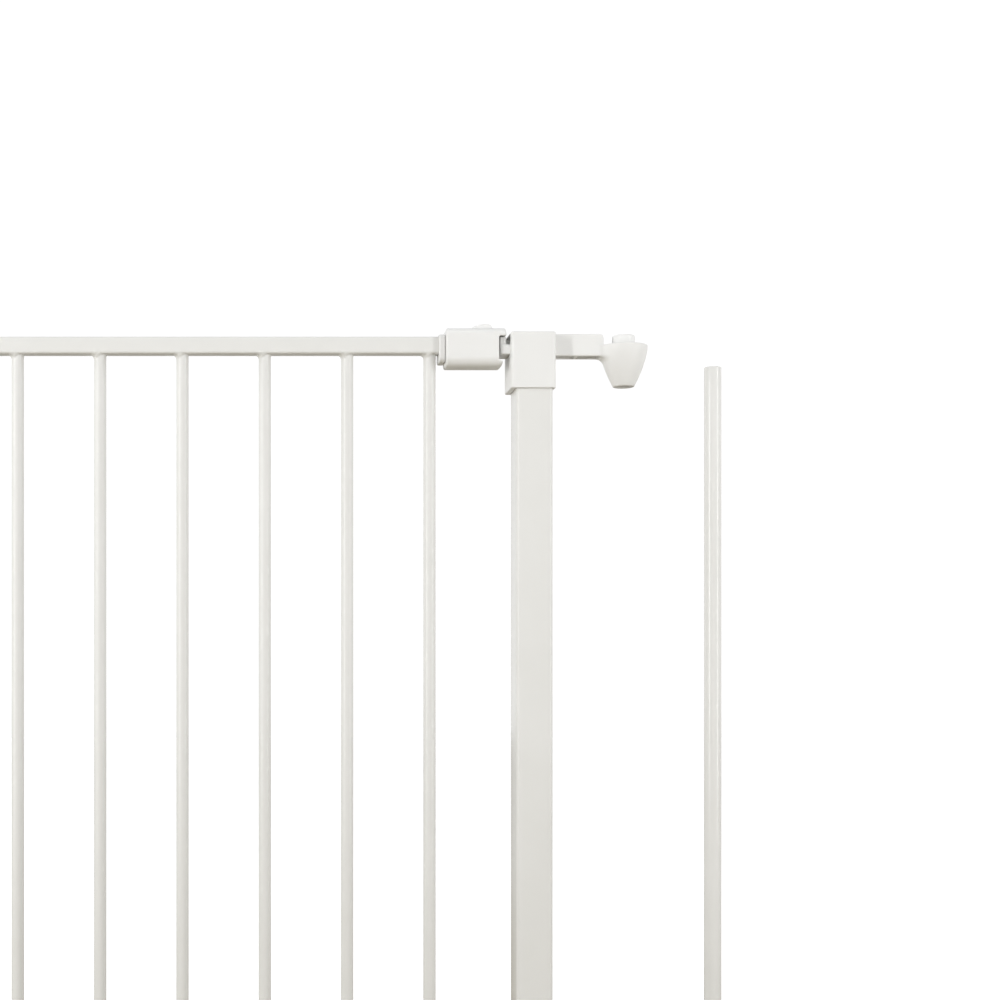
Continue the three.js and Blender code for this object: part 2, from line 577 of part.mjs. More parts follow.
class Helix extends THREE.Curve {
  getPoint(t) {
    const angle = 2 * Math.PI * spring.turns * t;
    const along = spring.wire + (spring.length - 2 * spring.wire) * t;
    return new THREE.Vector3(along, spring.radius * Math.cos(angle), spring.radius * Math.sin(angle));
  }
}
const wire = new THREE.Shape();
wire.absarc(0, 0, spring.wire / 2, 0, 2 * Math.PI);
const coil = new THREE.ExtrudeGeometry(wire, {
  steps: 12 * spring.turns, extrudePath: new Helix(), curveSegments: 3, bevelEnabled: false,
});
add('latch_spring', solid(coil), springSteel, springSeatX + clearance, 0, boltZ);

// ---- Loose connecting rod, standing beside the gate --------------------------------------------
const rodSkin = cylinder(rod.diameter / 2, rod.length, 32);
const rodHollow = cylinder(rod.diameter / 2 - rod.wall, rod.length + 2, 32).translate(0, 0, -1);
add('connecting_rod', rodSkin.subtract(rodHollow), whiteSteel, rodX);
const rodPlug = () => cylinder(rod.diameter / 2 - rod.wall - clearance, rod.plugDepth);
add('rod_lower_plug', rodPlug(), whitePlastic, rodX);
add('rod_upper_plug', rodPlug(), whitePlastic, rodX, 0, rod.length - rod.plugDepth);

export default gate;
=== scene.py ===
# %% [markdown]
# # A section of pet gate
# A barred door swings between two posts, a lock joins it to the right post, and moulded fittings on
# the posts carry the holes that a loose rod pins to the next section. The sizes and joints come
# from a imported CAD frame. This lesson dresses that frame: it replaces the plain solids with surfaces
# that have the real roundings, welds and finishes, and lights them in a soft white studio.

# %% Load the frame
import math

import bpy
import numpy as np
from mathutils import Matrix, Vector


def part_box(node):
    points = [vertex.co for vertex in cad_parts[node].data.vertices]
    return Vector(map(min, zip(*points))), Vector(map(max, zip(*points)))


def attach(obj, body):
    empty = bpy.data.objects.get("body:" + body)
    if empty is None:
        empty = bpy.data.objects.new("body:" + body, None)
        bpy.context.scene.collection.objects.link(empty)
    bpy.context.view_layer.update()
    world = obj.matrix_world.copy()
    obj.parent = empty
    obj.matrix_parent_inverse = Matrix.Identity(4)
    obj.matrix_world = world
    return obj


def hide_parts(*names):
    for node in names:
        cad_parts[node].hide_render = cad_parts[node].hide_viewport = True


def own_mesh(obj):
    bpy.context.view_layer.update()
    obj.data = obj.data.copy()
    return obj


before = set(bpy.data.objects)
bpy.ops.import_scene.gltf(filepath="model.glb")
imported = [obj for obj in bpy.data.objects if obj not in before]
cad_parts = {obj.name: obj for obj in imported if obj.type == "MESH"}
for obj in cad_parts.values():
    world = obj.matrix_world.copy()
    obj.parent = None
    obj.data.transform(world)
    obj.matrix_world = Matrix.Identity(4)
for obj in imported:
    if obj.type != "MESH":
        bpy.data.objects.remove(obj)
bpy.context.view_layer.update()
MM = 0.001


# %% Where the CAD put things
def span(node):
    """Lowest and highest corner of a CAD node, in millimetres."""
    low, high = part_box(node)
    return np.array(low) / MM, np.array(high) / MM


def middle(node):
    """Middle of a CAD node's box, in millimetres."""
    low, high = span(node)
    return (low + high) / 2


post_axis = middle("right_post")[0]
gate_top = span("top_right_fitting")[1][2]
cone_axis = middle("top_right_rod_bush")[0]
foot_top = span("bottom_right_rod_bush")[1][2] + gate_top - span("top_right_rod_bush")[1][2]
print(f"posts at {post_axis:.2f} mm, cones at {cone_axis:.2f} mm")
print(f"top {gate_top:.1f} mm, foot {foot_top:.1f} mm")

# %% [markdown]
# ## Putting a numpy surface into Blender
# Every piece below is a set of points and four-sided faces, worked out as whole arrays. One helper
# writes them into a mesh with foreach_set, in metres, and a second gives the mesh its finish and its
# CAD body, and hides the CAD node that it stands for. Objects stay at the origin: the place is in the mesh.


# %% Mesh and dressing helpers
def make_piece(name, points, quads):
    """A mesh object from points in millimetres and rows of four point numbers."""
    mesh = bpy.data.meshes.new(name)
    mesh.vertices.add(len(points))
    mesh.vertices.foreach_set("co", (np.asarray(points) * MM).astype(np.float32).ravel())
    mesh.loops.add(quads.size)
    mesh.loops.foreach_set("vertex_index", quads.astype(np.int32).ravel())
    mesh.polygons.add(len(quads))
    mesh.polygons.foreach_set("loop_start", np.arange(0, quads.size, 4, dtype=np.int32))
    mesh.update(calc_edges=True)
    mesh.shade_smooth()
    piece = bpy.data.objects.new(name, mesh)
    bpy.context.scene.collection.objects.link(piece)
    return piece


def dress(piece, body, material, slot, *replaced):
    """Gives a piece its finish and its body, and hides the CAD nodes that it stands for."""
    piece.data.materials.clear()
    piece.data.materials.append(material)
    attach(piece, body)
    if replaced:
        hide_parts(*replaced)
    print(f"{piece.name}: {len(piece.data.polygons)} faces on {body}")
    return piece


# %% [markdown]
# ## Finishes
# The posts, rails and bars are steel under a baked powder coat. It melts into a skin with a fine
# ripple, called orange peel, and never lies perfectly even, so its gloss drifts a little too. The
# fittings and the lock are moulded plastic, with a tighter spark-eroded grain. Both patterns are
# noise on Object coordinates, so they have one real size on every piece and need no unwrapping.


# %% Material helpers
def new_material(name, **values):
    """A node material. The values go straight onto the shader's own sockets."""
    material = bpy.data.materials.new(name)
    material.use_nodes = True
    shader = material.node_tree.nodes["Principled BSDF"]
    for socket, value in values.items():
        shader.inputs[socket.replace("_", " ")].default_value = value
    return material, material.node_tree, shader


def noise(tree, scale, detail=3.0, roughness=0.5, stretch=None):
    """Noise on Object coordinates with cells about 1 / scale metres across."""
    place = tree.nodes.new("ShaderNodeTexCoord")
    texture = tree.nodes.new("ShaderNodeTexNoise")
    texture.inputs["Scale"].default_value = scale
    texture.inputs["Detail"].default_value = detail
    texture.inputs["Roughness"].default_value = roughness
    if stretch is None:
        tree.links.new(place.outputs["Object"], texture.inputs["Vector"])
    else:
        mapping = tree.nodes.new("ShaderNodeMapping")
        mapping.inputs["Scale"].default_value = stretch
        tree.links.new(place.outputs["Object"], mapping.inputs["Vector"])
        tree.links.new(mapping.outputs["Vector"], texture.inputs["Vector"])
    return texture.outputs["Fac"]


def ramp(tree, value, low, high):
    """Spreads the useful middle of a noise, 0.3 to 0.7, from low to high."""
    spread = tree.nodes.new("ShaderNodeMapRange")
    for socket, number in zip(("From Min", "From Max", "To Min", "To Max"), (0.3, 0.7, low, high)):
        spread.inputs[socket].default_value = number
    tree.links.new(value, spread.inputs["Value"])
    return spread.outputs["Result"]


def tone(tree, value, dark, light):
    """A colour between two, chosen by a value from 0 to 1."""
    mix = tree.nodes.new("ShaderNodeMix")
    mix.data_type = "RGBA"
    mix.inputs["A"].default_value = (*dark, 1)
    mix.inputs["B"].default_value = (*light, 1)
    tree.links.new(value, mix.inputs["Factor"])
    return mix.outputs["Result"]


def bump(tree, shader, heights, depth):
    """Adds several heights, each with a weight, and bumps the surface by depth metres at most."""
    total = None
    for value, weight in heights:
        part = tree.nodes.new("ShaderNodeMath")
        part.operation = "MULTIPLY"
        part.inputs[1].default_value = weight
        tree.links.new(value, part.inputs[0])
        if total is None:
            total = part.outputs[0]
            continue
        join = tree.nodes.new("ShaderNodeMath")
        tree.links.new(total, join.inputs[0])
        tree.links.new(part.outputs[0], join.inputs[1])
        total = join.outputs[0]
    node = tree.nodes.new("ShaderNodeBump")
    node.inputs["Strength"].default_value = 1.0
    node.inputs["Distance"].default_value = depth
    tree.links.new(total, node.inputs["Height"])
    tree.links.new(node.outputs["Normal"], shader.inputs["Normal"])


# %% Powder coat, moulded plastic, nylon
def coating(name, dark, light, rough, peel, grain, depth):
    """A white skin: two tones that drift, a gloss that drifts, and a fine ripple over a long one."""
    material, tree, shader = new_material(name, IOR=1.5)
    drift = ramp(tree, noise(tree, 22, 2.0), 0, 1)
    tree.links.new(tone(tree, drift, dark, light), shader.inputs["Base Color"])
    tree.links.new(ramp(tree, noise(tree, 90, 4.0, 0.6), *rough), shader.inputs["Roughness"])
    ripple, spark = noise(tree, peel, 2.0), noise(tree, grain, 2.0)
    bump(tree, shader, [(ripple, 1.0), (spark, 0.35)], depth)
    return material


powder_coat = coating(
    "powder_coat", (0.790, 0.788, 0.765), (0.812, 0.810, 0.790), (0.20, 0.23), 420, 1500, 0.00002)
moulded_white = coating(
    "moulded_white", (0.846, 0.845, 0.830), (0.862, 0.861, 0.848), (0.40, 0.48), 260, 2600, 0.00002)
# Painted light: a brighter copy of the moulded white, whose raised base colour stands in for the light that
# the handle and cap keep off the bolt in the mouth.
bolt_white_painted_light = coating(
    "bolt_white_painted_light", (0.90, 0.90, 0.89), (0.92, 0.92, 0.912), (0.36, 0.44), 260, 2600, 0.00002)
nylon = coating("nylon", (0.70, 0.68, 0.62), (0.74, 0.72, 0.66), (0.42, 0.52), 300, 1800, 0.00002)
print("white finishes:", powder_coat.name, moulded_white.name, nylon.name)


# %% Zinc plate and spring wire
def metal(name, dark, light, rough, scale, stretch, depth):
    """Bare metal with drawn or turned lines, which are noise stretched along one direction."""
    material, tree, shader = new_material(name, Metallic=1.0)
    lines = noise(tree, scale, 4.0, 0.6, stretch)
    tree.links.new(tone(tree, ramp(tree, noise(tree, 160), 0, 1), dark, light), shader.inputs["Base Color"])
    tree.links.new(ramp(tree, lines, *rough), shader.inputs["Roughness"])
    bump(tree, shader, [(lines, 1.0)], depth)
    return material


zinc = metal("zinc_plate", (0.50, 0.51, 0.53), (0.62, 0.63, 0.64), (0.24, 0.40), 500, (1, 1, 0.2), 0.00001)
wire = metal("spring_wire", (0.30, 0.31, 0.33), (0.42, 0.43, 0.45), (0.22, 0.36), 900, (1, 1, 1), 0.00001)
print("metals:", zinc.name, wire.name)

# %% [markdown]
# ## Tubes
# A cut tube has an outside, an inside, and an edge between them where the saw's burr was brushed
# off and the coat has flowed round. A cylinder with a Solidify modifier gives a dead sharp edge.
# Here the section is carried along a closed path instead: up the outside, over the rounded rim, down
# the inside and back under the lower rim, so the grid wraps round both ways and has no open edge.


# %% Sections and the wrapped grid
def round_section(count):
    """Unit circle as directions and a radius function: the section of bars and of the rod."""
    angle = np.linspace(0, 2 * np.pi, count, endpoint=False)
    way = np.stack([np.cos(angle), np.sin(angle)], axis=1)
    return lambda radius: way * radius


def box_section(half_u, half_v, corner, arc=6):
    """Rectangle with round corners, as a function of how far it is drawn in from the outer face.
    Each corner point is its corner's centre plus the corner's radius times a direction."""
    angle = np.linspace(0, np.pi / 2, arc + 1)
    turns = np.concatenate([angle + k * np.pi / 2 for k in range(4)])
    way = np.stack([np.cos(turns), np.sin(turns)], axis=1)
    sign = np.repeat([[1, 1], [-1, 1], [-1, -1], [1, -1]], arc + 1, axis=0)

    def outline(inset):
        radius = max(corner - inset, 0.25)
        reach = np.array([half_u, half_v]) - inset - radius
        return sign * reach + way * radius

    return outline


def wrapped_quads(rows, columns):
    """Faces of a grid that closes on itself in both directions."""
    row, column = np.meshgrid(np.arange(rows), np.arange(columns), indexing="ij")
    after, beside = (row + 1) % rows, (column + 1) % columns
    quads = np.stack([
        row * columns + column, row * columns + beside,
        after * columns + beside, after * columns + column], axis=-1)
    return quads.reshape(-1, 4)


def tube_points(sections, heights):
    """Stacks sections, each n by 2, at their heights: an array of rows by n by 3."""
    return np.stack([np.column_stack([s, np.full(len(s), h)]) for s, h in zip(sections, heights)])


def hollow(outer, inner, wall, low, high, rim=0.5, steps=3, spans=12):
    """Wrapped tube: outer(inset) and inner(inset) are sections, low and high are its ends.
    Each rim is a quarter circle of radius rim on the outside and a small one on the inside."""
    turn = np.linspace(0, np.pi / 2, steps + 1)
    round_in, round_up = rim * (1 - np.cos(turn)), rim * np.sin(turn)
    inner_rim = min(rim * 0.5, wall * 0.35)
    in_in, in_up = inner_rim * (1 - np.cos(turn)), inner_rim * np.sin(turn)
    run = np.linspace(low + rim, high - rim, spans + 1)[1:-1]
    sections = [outer(i) for i in round_in[::-1]] + [outer(0)] * len(run) + [outer(i) for i in round_in]
    heights = [*(low + rim - round_up[::-1]), *run, *(high - rim + round_up)]
    sections += [inner(-i) for i in in_in[::-1]] + [inner(-i) for i in in_in]
    heights += [*(high - inner_rim + in_up[::-1]), *(low + inner_rim - in_up)]
    return tube_points(sections, heights)


UPRIGHT = np.eye(3)
LYING = np.array([[0, 0, -1], [0, 1, 0], [1, 0, 0]])    # turns a tube's length from +Z to +X


def tube_piece(name, points, place, turn=UPRIGHT):
    """Makes a wrapped grid into a piece, turned and moved to its place."""
    rows, columns = points.shape[:2]
    return make_piece(name, points.reshape(-1, 3) @ turn + place, wrapped_quads(rows, columns))


print("a bar's section has", len(round_section(48)(1.0)), "points")

# %% [markdown]
# ## Posts, threshold and rails
# These are rectangular tubes. The posts stand in the fittings, the threshold lies between them on
# the floor, and the two rails carry the bars. Their corners are the bending radius of the strip that
# they were rolled from, so the section's corners are true arcs.


# %% Rectangular tubes
POST_WALL, POST_CORNER = 1.5, 3.0
SILL_WALL, SILL_CORNER = 1.5, 2.5
RAIL_WALL, RAIL_CORNER = 1.2, 2.0


def box_tube(name, wall, corner, body, turn=UPRIGHT):
    """A rectangular tube that fills its CAD node's box."""
    low, high = span(name)
    centre, half = (low + high) / 2, (high - low) / 2
    across = (half[2], half[1], half[0]) if turn is LYING else tuple(half)
    outer = box_section(across[0], across[1], corner)
    inner = box_section(across[0] - wall, across[1] - wall, corner - wall)
    points = hollow(outer, inner, wall, -across[2], across[2])
    return dress(tube_piece(name + "_tube", points, centre, turn), body, powder_coat, "white_steel", name)


for side in ("left", "right"):
    box_tube(f"{side}_post", POST_WALL, POST_CORNER, "frame")
box_tube("threshold", SILL_WALL, SILL_CORNER, "frame", LYING)
for level in ("top", "bottom"):
    box_tube(f"{level}_rail", RAIL_WALL, RAIL_CORNER, "door", LYING)

# %% [markdown]
# ## Bars and the connecting rod
# The six bars and the hinge stile are round tubes. Under the weld their ends are hidden, so they
# need only a plain rim. The rod stands loose beside the gate: its ends are closed by flush plugs.

# %% Round tubes
BAR_WALL, ROD_WALL = 1.0, 1.2
BAR_SIDES = 56
uprights = ["hinge_stile"] + [f"bar_{i}" for i in range(1, 7)]


def round_tube(name, wall, body, rim, reach=0.0):
    """A round tube that fills its CAD node's box, and goes on by a small reach at both ends."""
    low, high = span(name)
    centre, radius = (low + high) / 2, (high[0] - low[0]) / 2
    section = round_section(BAR_SIDES)
    half = (high[2] - low[2]) / 2 + reach
    points = hollow(
        lambda inset: section(radius - inset), lambda inset: section(radius - wall - inset),
        wall, -half, half, rim)
    return dress(tube_piece(name + "_tube", points, centre), body, powder_coat, "white_steel", name)


for name in uprights:
    round_tube(name, BAR_WALL, "door", 0.3, reach=0.4)
round_tube("connecting_rod", ROD_WALL, "rod", 0.6)

# %% [markdown]
# ## Level surfaces for moulded shapes
# A moulded fitting is a cap, an arm and a cone that flow into each other through fillets. A grid
# over two parameters can't cover such a branching shape, and Boolean and Bevel modifiers leave torn
# shading where fillets meet. The way used here is a signed distance: a function of x, y and z that
# is negative inside the plastic. Joining two shapes is the smaller of their distances, cutting is
# the larger, and a circular blend of the two makes a true fillet. The surface where the distance is
# zero is then found on a regular lattice, as whole arrays.


# %% Distances
def blend_join(a, b, radius):
    """Union with a fillet: a quarter circle of that radius fills the inner corner."""
    reach = np.hypot(np.maximum(radius - a, 0), np.maximum(radius - b, 0))
    return np.maximum(radius, np.minimum(a, b)) - reach


def blend_cut(a, b, radius):
    """Intersection with a rounded edge of that radius."""
    reach = np.hypot(np.maximum(radius + a, 0), np.maximum(radius + b, 0))
    return np.minimum(-radius, np.maximum(a, b)) + reach


def rectangle(u, v, half_u, half_v, corner):
    """Distance to a rectangle with round corners, centred on zero."""
    du, dv = np.abs(u) - half_u + corner, np.abs(v) - half_v + corner
    return np.hypot(np.maximum(du, 0), np.maximum(dv, 0)) + np.minimum(np.maximum(du, dv), 0) - corner


def slab(w, low, high):
    """Distance to the space between two parallel planes."""
    return np.maximum(low - w, w - high)


def block(x, y, z, low, high, corner=0.0):
    """Distance to a box between two corners, with round edges."""
    low, high = np.array(low, float), np.array(high, float)
    centre, half = (low + high) / 2, (high - low) / 2 - corner
    out = [np.abs(w - c) - h for w, c, h in zip((x, y, z), centre, half)]
    outside = np.sqrt(sum(np.maximum(d, 0) ** 2 for d in out))
    return outside + np.minimum(np.maximum(np.maximum(out[0], out[1]), out[2]), 0) - corner


def disc(u, v, radius):
    """Distance to a circle on zero, which stands for a cylinder along the third direction."""
    return np.hypot(u, v) - radius


# %% From a distance to a mesh
def crossing_points(value, lattice, axis):
    """Where the surface crosses the lattice edges along one axis, by linear interpolation."""
    first = [slice(None)] * 3
    second = [slice(None)] * 3
    first[axis], second[axis] = slice(None, -1), slice(1, None)
    a, b = value[tuple(first)], value[tuple(second)]
    crossed = (a < 0) != (b < 0)
    share = np.where(crossed, a / np.where(crossed, a - b, 1), 0)
    start, end = lattice[tuple(first)], lattice[tuple(second)]
    return crossed, a < 0, start + (end - start) * share[..., None]


def level_surface(distance, low, high, step):
    """Points and faces of the surface where distance is zero, between two corners.
    Each lattice cell that the surface enters gets one point, the mean of its edge crossings, and
    each crossed edge joins the four cells round it by one face. The points are then moved along
    the distance's slope onto the surface."""
    low, high = np.array(low, float) - 1.5 * step, np.array(high, float) + 1.5 * step
    counts = np.ceil((high - low) / step).astype(int) + 1
    lines = [low[k] + step * np.arange(counts[k]) for k in range(3)]
    lattice = np.stack(np.meshgrid(*lines, indexing="ij"), axis=-1)
    value = distance(lattice[..., 0], lattice[..., 1], lattice[..., 2])
    cells = tuple(counts - 1)
    total, hits = np.zeros(cells + (3,)), np.zeros(cells)
    crossings = [crossing_points(value, lattice, axis) for axis in range(3)]
    for axis, (crossed, _, point) in enumerate(crossings):
        for shift_u in (0, 1):
            for shift_v in (0, 1):
                view = [slice(None)] * 3
                for other, shift in (((axis + 1) % 3, shift_u), ((axis + 2) % 3, shift_v)):
                    view[other] = slice(shift, shift + cells[other])
                hits += crossed[tuple(view)]
                total += point[tuple(view)] * crossed[tuple(view)][..., None]
    used = hits > 0
    number = np.full(cells, -1)
    number[used] = np.arange(used.sum())
    points = total[used] / hits[used][:, None]
    quads = np.concatenate([edge_quads(number, crossed, inside, axis)
                            for axis, (crossed, inside, _) in enumerate(crossings)])
    return settle(distance, points, step), quads


def edge_quads(number, crossed, inside, axis):
    """The face round each crossed edge, turned so that it looks out of the material."""
    index = np.argwhere(crossed)
    u, v = (axis + 1) % 3, (axis + 2) % 3
    corners = []
    for shift_u, shift_v in ((-1, -1), (0, -1), (0, 0), (-1, 0)):
        cell = index.copy()
        cell[:, u] += shift_u
        cell[:, v] += shift_v
        corners.append(number[cell[:, 0], cell[:, 1], cell[:, 2]])
    quads = np.stack(corners, axis=1)
    outward = inside[index[:, 0], index[:, 1], index[:, 2]]
    return np.where(outward[:, None], quads, quads[:, ::-1])


def settle(distance, points, step, rounds=3):
    """Newton steps along the distance's slope, no longer than a third of the lattice step."""
    small = step * 0.05
    for _ in range(rounds):
        value = distance(*points.T)
        slope = np.stack([
            distance(*(points + small * unit).T) - distance(*(points - small * unit).T)
            for unit in np.eye(3)], axis=1) / (2 * small)
        length = np.maximum((slope ** 2).sum(axis=1), 0.25)
        move = -(value / length)[:, None] * slope
        far = np.maximum(np.linalg.norm(move, axis=1) / (step / 3), 1)
        points = points + move / far[:, None]
    return points


ball = level_surface(lambda x, y, z: np.sqrt(x * x + y * y + z * z) - 5, (-5,) * 3, (5,) * 3, 0.5)
print("test ball: radius error", float(np.abs(np.linalg.norm(ball[0], axis=1) - 5).max()), "mm")


# %% Moulded pieces
def mould(name, distance, low, high, step, body, material=moulded_white, slot="white_plastic"):
    """A moulded piece named after its CAD node, which it replaces."""
    points, quads = level_surface(distance, low, high, step)
    return dress(make_piece(name + "_moulding", points, quads), body, material, slot, name)


# %% [markdown]
# ## The four corner fittings
# Each fitting is one moulding: a cap or cup round the post, an arm that is hollow underneath with
# one rib, and a cone with a hole for the rod. Distances are written for the right-hand side, with x
# from the post's axis and z from the top of the fitting, and the left side mirrors x.

# %% Fitting sizes
INNER_WALL, OUTER_WALL, FACE_WALL, CAP_ROOF = 4.85, 2.15, 2.3, 3.0
CAP_HEIGHT, CAP_CORNER, CAP_EDGE = 47.3, 2.6, 1.0
ARM_HALF_DEPTH, ARM_HEIGHT, ARM_TIP, ARM_WALL, TIP_CORNER = 8.5, 18.9, 59.8, 2.4, 3.5
CONE_TOP, CONE_BOTTOM, CONE_HEIGHT, CONE_DROP, CONE_CURVE = 20.1, 8.8, 34.7, 9.1, 1.6
ROD_BORE, SEAT_RADIUS, SEAT_DEPTH = 7.5, 9.3, 9.3
FIT = 0.3
post_low, post_high = span("right_post")
POST_HALF_X, POST_HALF_Y = (post_high[0] - post_low[0]) / 2, (post_high[1] - post_low[1]) / 2
CAP_X = (-POST_HALF_X - INNER_WALL, POST_HALF_X + OUTER_WALL)
CAP_HALF_Y = POST_HALF_Y + FACE_WALL
CONE_X = cone_axis - post_axis
SCREW_HOLE = 2.0
print(f"cap {CAP_X[1] - CAP_X[0]:.1f} x {2 * CAP_HALF_Y:.1f} mm, cone {CONE_X:.2f} mm from the post axis")


# %% Cap, arm and cone
def cone_distance(x, y, z):
    """Turned cone: its radius falls slowly under the top rim, then faster, down to the mouth."""
    below = np.clip((-CONE_DROP - z) / CONE_HEIGHT, 0, 1)
    radius = CONE_BOTTOM + (CONE_TOP - CONE_BOTTOM) * (1 - below ** CONE_CURVE)
    slope = CONE_CURVE * (CONE_TOP - CONE_BOTTOM) / CONE_HEIGHT * below ** (CONE_CURVE - 1)
    side = (np.hypot(x - CONE_X, y) - radius) / np.hypot(1, slope)
    return blend_cut(side, -CONE_DROP - CONE_HEIGHT - z, 0.7)


def body_distance(x, y, z, cap_bottom):
    """Cap and arm with the cone below them, before the hollows are cut."""
    centre, half = (CAP_X[0] + CAP_X[1]) / 2, (CAP_X[1] - CAP_X[0]) / 2
    column = blend_cut(rectangle(x - centre, y, half, CAP_HALF_Y, CAP_CORNER), cap_bottom - z, 0.5)
    arm = blend_cut(np.maximum(np.abs(y) - ARM_HALF_DEPTH, -x), -ARM_HEIGHT - z, 1.4)
    top = np.hypot(np.maximum(x - ARM_TIP + TIP_CORNER, 0), np.maximum(z + TIP_CORNER, 0))
    top = top + np.minimum(np.maximum(x - ARM_TIP + TIP_CORNER, z + TIP_CORNER), 0) - TIP_CORNER
    upper = blend_cut(blend_join(column, arm, 1.6), top, CAP_EDGE)
    low_arm = np.maximum(arm, x - CONE_X)
    lower = blend_join(low_arm, cone_distance(x, y, z), 5.0)
    lower = blend_cut(lower, z + CONE_DROP, 0.8)
    return np.minimum(upper, np.maximum(lower, CAP_X[1] - 1 - x))


def hollows(x, y, z, cavity_low, cavity_high):
    """Post cavity, arm hollow with its rib left standing, rod bore and bush seat."""
    cavity = np.maximum(
        rectangle(x, y, POST_HALF_X + FIT, POST_HALF_Y + FIT, 3.3), slab(z, cavity_low, cavity_high))
    trough_start, trough_end = CAP_X[1], ARM_TIP - ARM_WALL
    rib = (trough_start + trough_end) / 2
    inside = ARM_HALF_DEPTH - ARM_WALL
    trough = block(x, y, z, (trough_start, -inside, -60), (trough_end, inside, -ARM_WALL), 0.8)
    trough = np.maximum(trough, ARM_WALL / 2 - np.abs(x - rib))
    bore = disc(x - CONE_X, y, ROD_BORE)
    seat = np.maximum(disc(x - CONE_X, y, SEAT_RADIUS), -CONE_DROP - SEAT_DEPTH - z)
    return np.minimum(np.minimum(cavity, trough), np.minimum(bore, seat))


def cut(solid, hole, edge=0.3):
    """Takes a hole out of a solid and breaks the edge between them."""
    return blend_cut(solid, -hole, edge)


# %% Keeper slot, screw holes, hinge lug
BOLT_HEIGHT = 8.4
bolt_z = span("latch_bolt")[0][2] + BOLT_HEIGHT / 2
slot_half_y = span("latch_bolt")[1][1] + FIT
hinge_x = middle("upper_hinge_bush")[0]
FLANGE = 1.4
lug_high = span("upper_hinge_bush")[1][2] - FLANGE - FIT - gate_top
LUG_RADIUS, LUG_HEIGHT, HINGE_BORE = 10.0, 19.5, 6.8


def keeper_slot(x, y, z):
    """Slot for the bolt in the wall that faces the door, tall enough for the door to lift."""
    low = bolt_z - BOLT_HEIGHT / 2 - FIT - gate_top
    return block(x, y, z, (-40, -slot_half_y, low), (-POST_HALF_X + 2, slot_half_y, low + 17.0), 0.6)


def hinge_lug(x, y, z):
    """Eye and neck that carry the upper hinge bush."""
    centre = -(post_axis + hinge_x)
    eye = disc(x - centre, y, LUG_RADIUS)
    neck = np.maximum(np.abs(y) - LUG_RADIUS + 1.5, slab(x, centre, CAP_X[0] + 1))
    return blend_cut(blend_join(eye, neck, 2.0), slab(z, lug_high - LUG_HEIGHT, lug_high), 0.9)


def screw_hole(x, z, y, height):
    """Round hole through the back wall."""
    return np.maximum(disc(x, z - height, SCREW_HOLE), -y)


def top_fitting(x, y, z, hinged):
    """The whole upper fitting: the lock side has the keeper slot, the hinge side the lug."""
    solid = body_distance(x, y, z, -CAP_HEIGHT)
    if hinged:
        solid = blend_join(solid, hinge_lug(x, y, z), 1.2)
    solid = cut(solid, hollows(x, y, z, -80, -CAP_ROOF))
    solid = cut(solid, screw_hole(x, z, y, -CAP_HEIGHT / 2))
    if hinged:
        return cut(solid, disc(x + post_axis + hinge_x, y, HINGE_BORE))
    return cut(solid, keeper_slot(x, y, z))


def foot_fitting(x, y, z):
    """The lower fitting: a cup for the post, open above, with a notch for the threshold."""
    solid = body_distance(x, y, z, -foot_top)
    solid = cut(solid, hollows(x, y, z, -foot_top + CAP_ROOF, 30))
    sill_high = span("threshold")[1]
    notch = block(
        x, y, z, (-50, -sill_high[1] - FIT, -foot_top - 10),
        (-POST_HALF_X, sill_high[1] + FIT, -foot_top + sill_high[2] + FIT), 0.4)
    screw_height = middle("bottom_right_fitting_screw")[2] - foot_top
    return cut(cut(solid, notch), screw_hole(x, z, y, screw_height))


FITTING_STEP = 0.68
for side, sign in (("left", -1), ("right", 1)):
    for level, height, shape in (
            ("top", gate_top, lambda x, y, z, s=sign: top_fitting(x, y, z, s < 0)),
            ("bottom", foot_top, foot_fitting)):
        name = f"{level}_{side}_fitting"
        low, high = span(name)
        mould(
            name, lambda x, y, z, s=sign, h=height, f=shape: f(s * x - post_axis, y, z - h),
            low, high, FITTING_STEP, "frame")

# %% [markdown]
# ## Rod bushes
# A round bush is pressed into the top of each cone. It is turned work: one profile spun about the
# upright axis, with the bore as part of the same closed profile, so the grid wraps both ways.


# %% Turned pieces
def turned(node, profile, place, body, material, slot, sides=64):
    """Spins a closed profile of radius and height pairs about the upright axis, for a CAD node."""
    profile = np.array(profile, float)
    section = round_section(sides)
    points = tube_points([section(r) for r in profile[:, 0]], profile[:, 1])
    return dress(tube_piece(node + "_turned", points, place), body, material, slot, node)


def arc_points(centre, radius, start, end, count=5):
    """Points on an arc, angles in degrees, for the rounded corner of a profile."""
    angle = np.radians(np.linspace(start, end, count))
    return [(centre[0] + radius * math.cos(a), centre[1] + radius * math.sin(a)) for a in angle]


BUSH_HEAD, BUSH_SPIGOT = 9.6, 9.0
for level in ("top", "bottom"):
    for side in ("left", "right"):
        name = f"{level}_{side}_rod_bush"
        low, high = span(name)
        shoulder = low[2] + BUSH_SPIGOT
        profile = [
            (ROD_BORE, low[2] + 0.4), (ROD_BORE + 0.4, low[2]),
            *arc_points((BUSH_SPIGOT - 0.8, low[2] + 0.8), 0.8, -90, 0),
            (BUSH_SPIGOT, shoulder - 0.2), (BUSH_SPIGOT, shoulder), (BUSH_HEAD - 0.3, shoulder),
            (BUSH_HEAD, shoulder + 0.3), (BUSH_HEAD, high[2] - 2),
            *arc_points((BUSH_HEAD - 0.9, high[2] - 0.9), 0.9, 0, 90),
            *arc_points((ROD_BORE + 0.4, high[2] - 0.4), 0.4, 90, 180), (ROD_BORE, high[2] - 4)]
        centre = middle(name)
        turned(
            name, profile, (centre[0], centre[1], 0), "frame", moulded_white, "white_plastic")

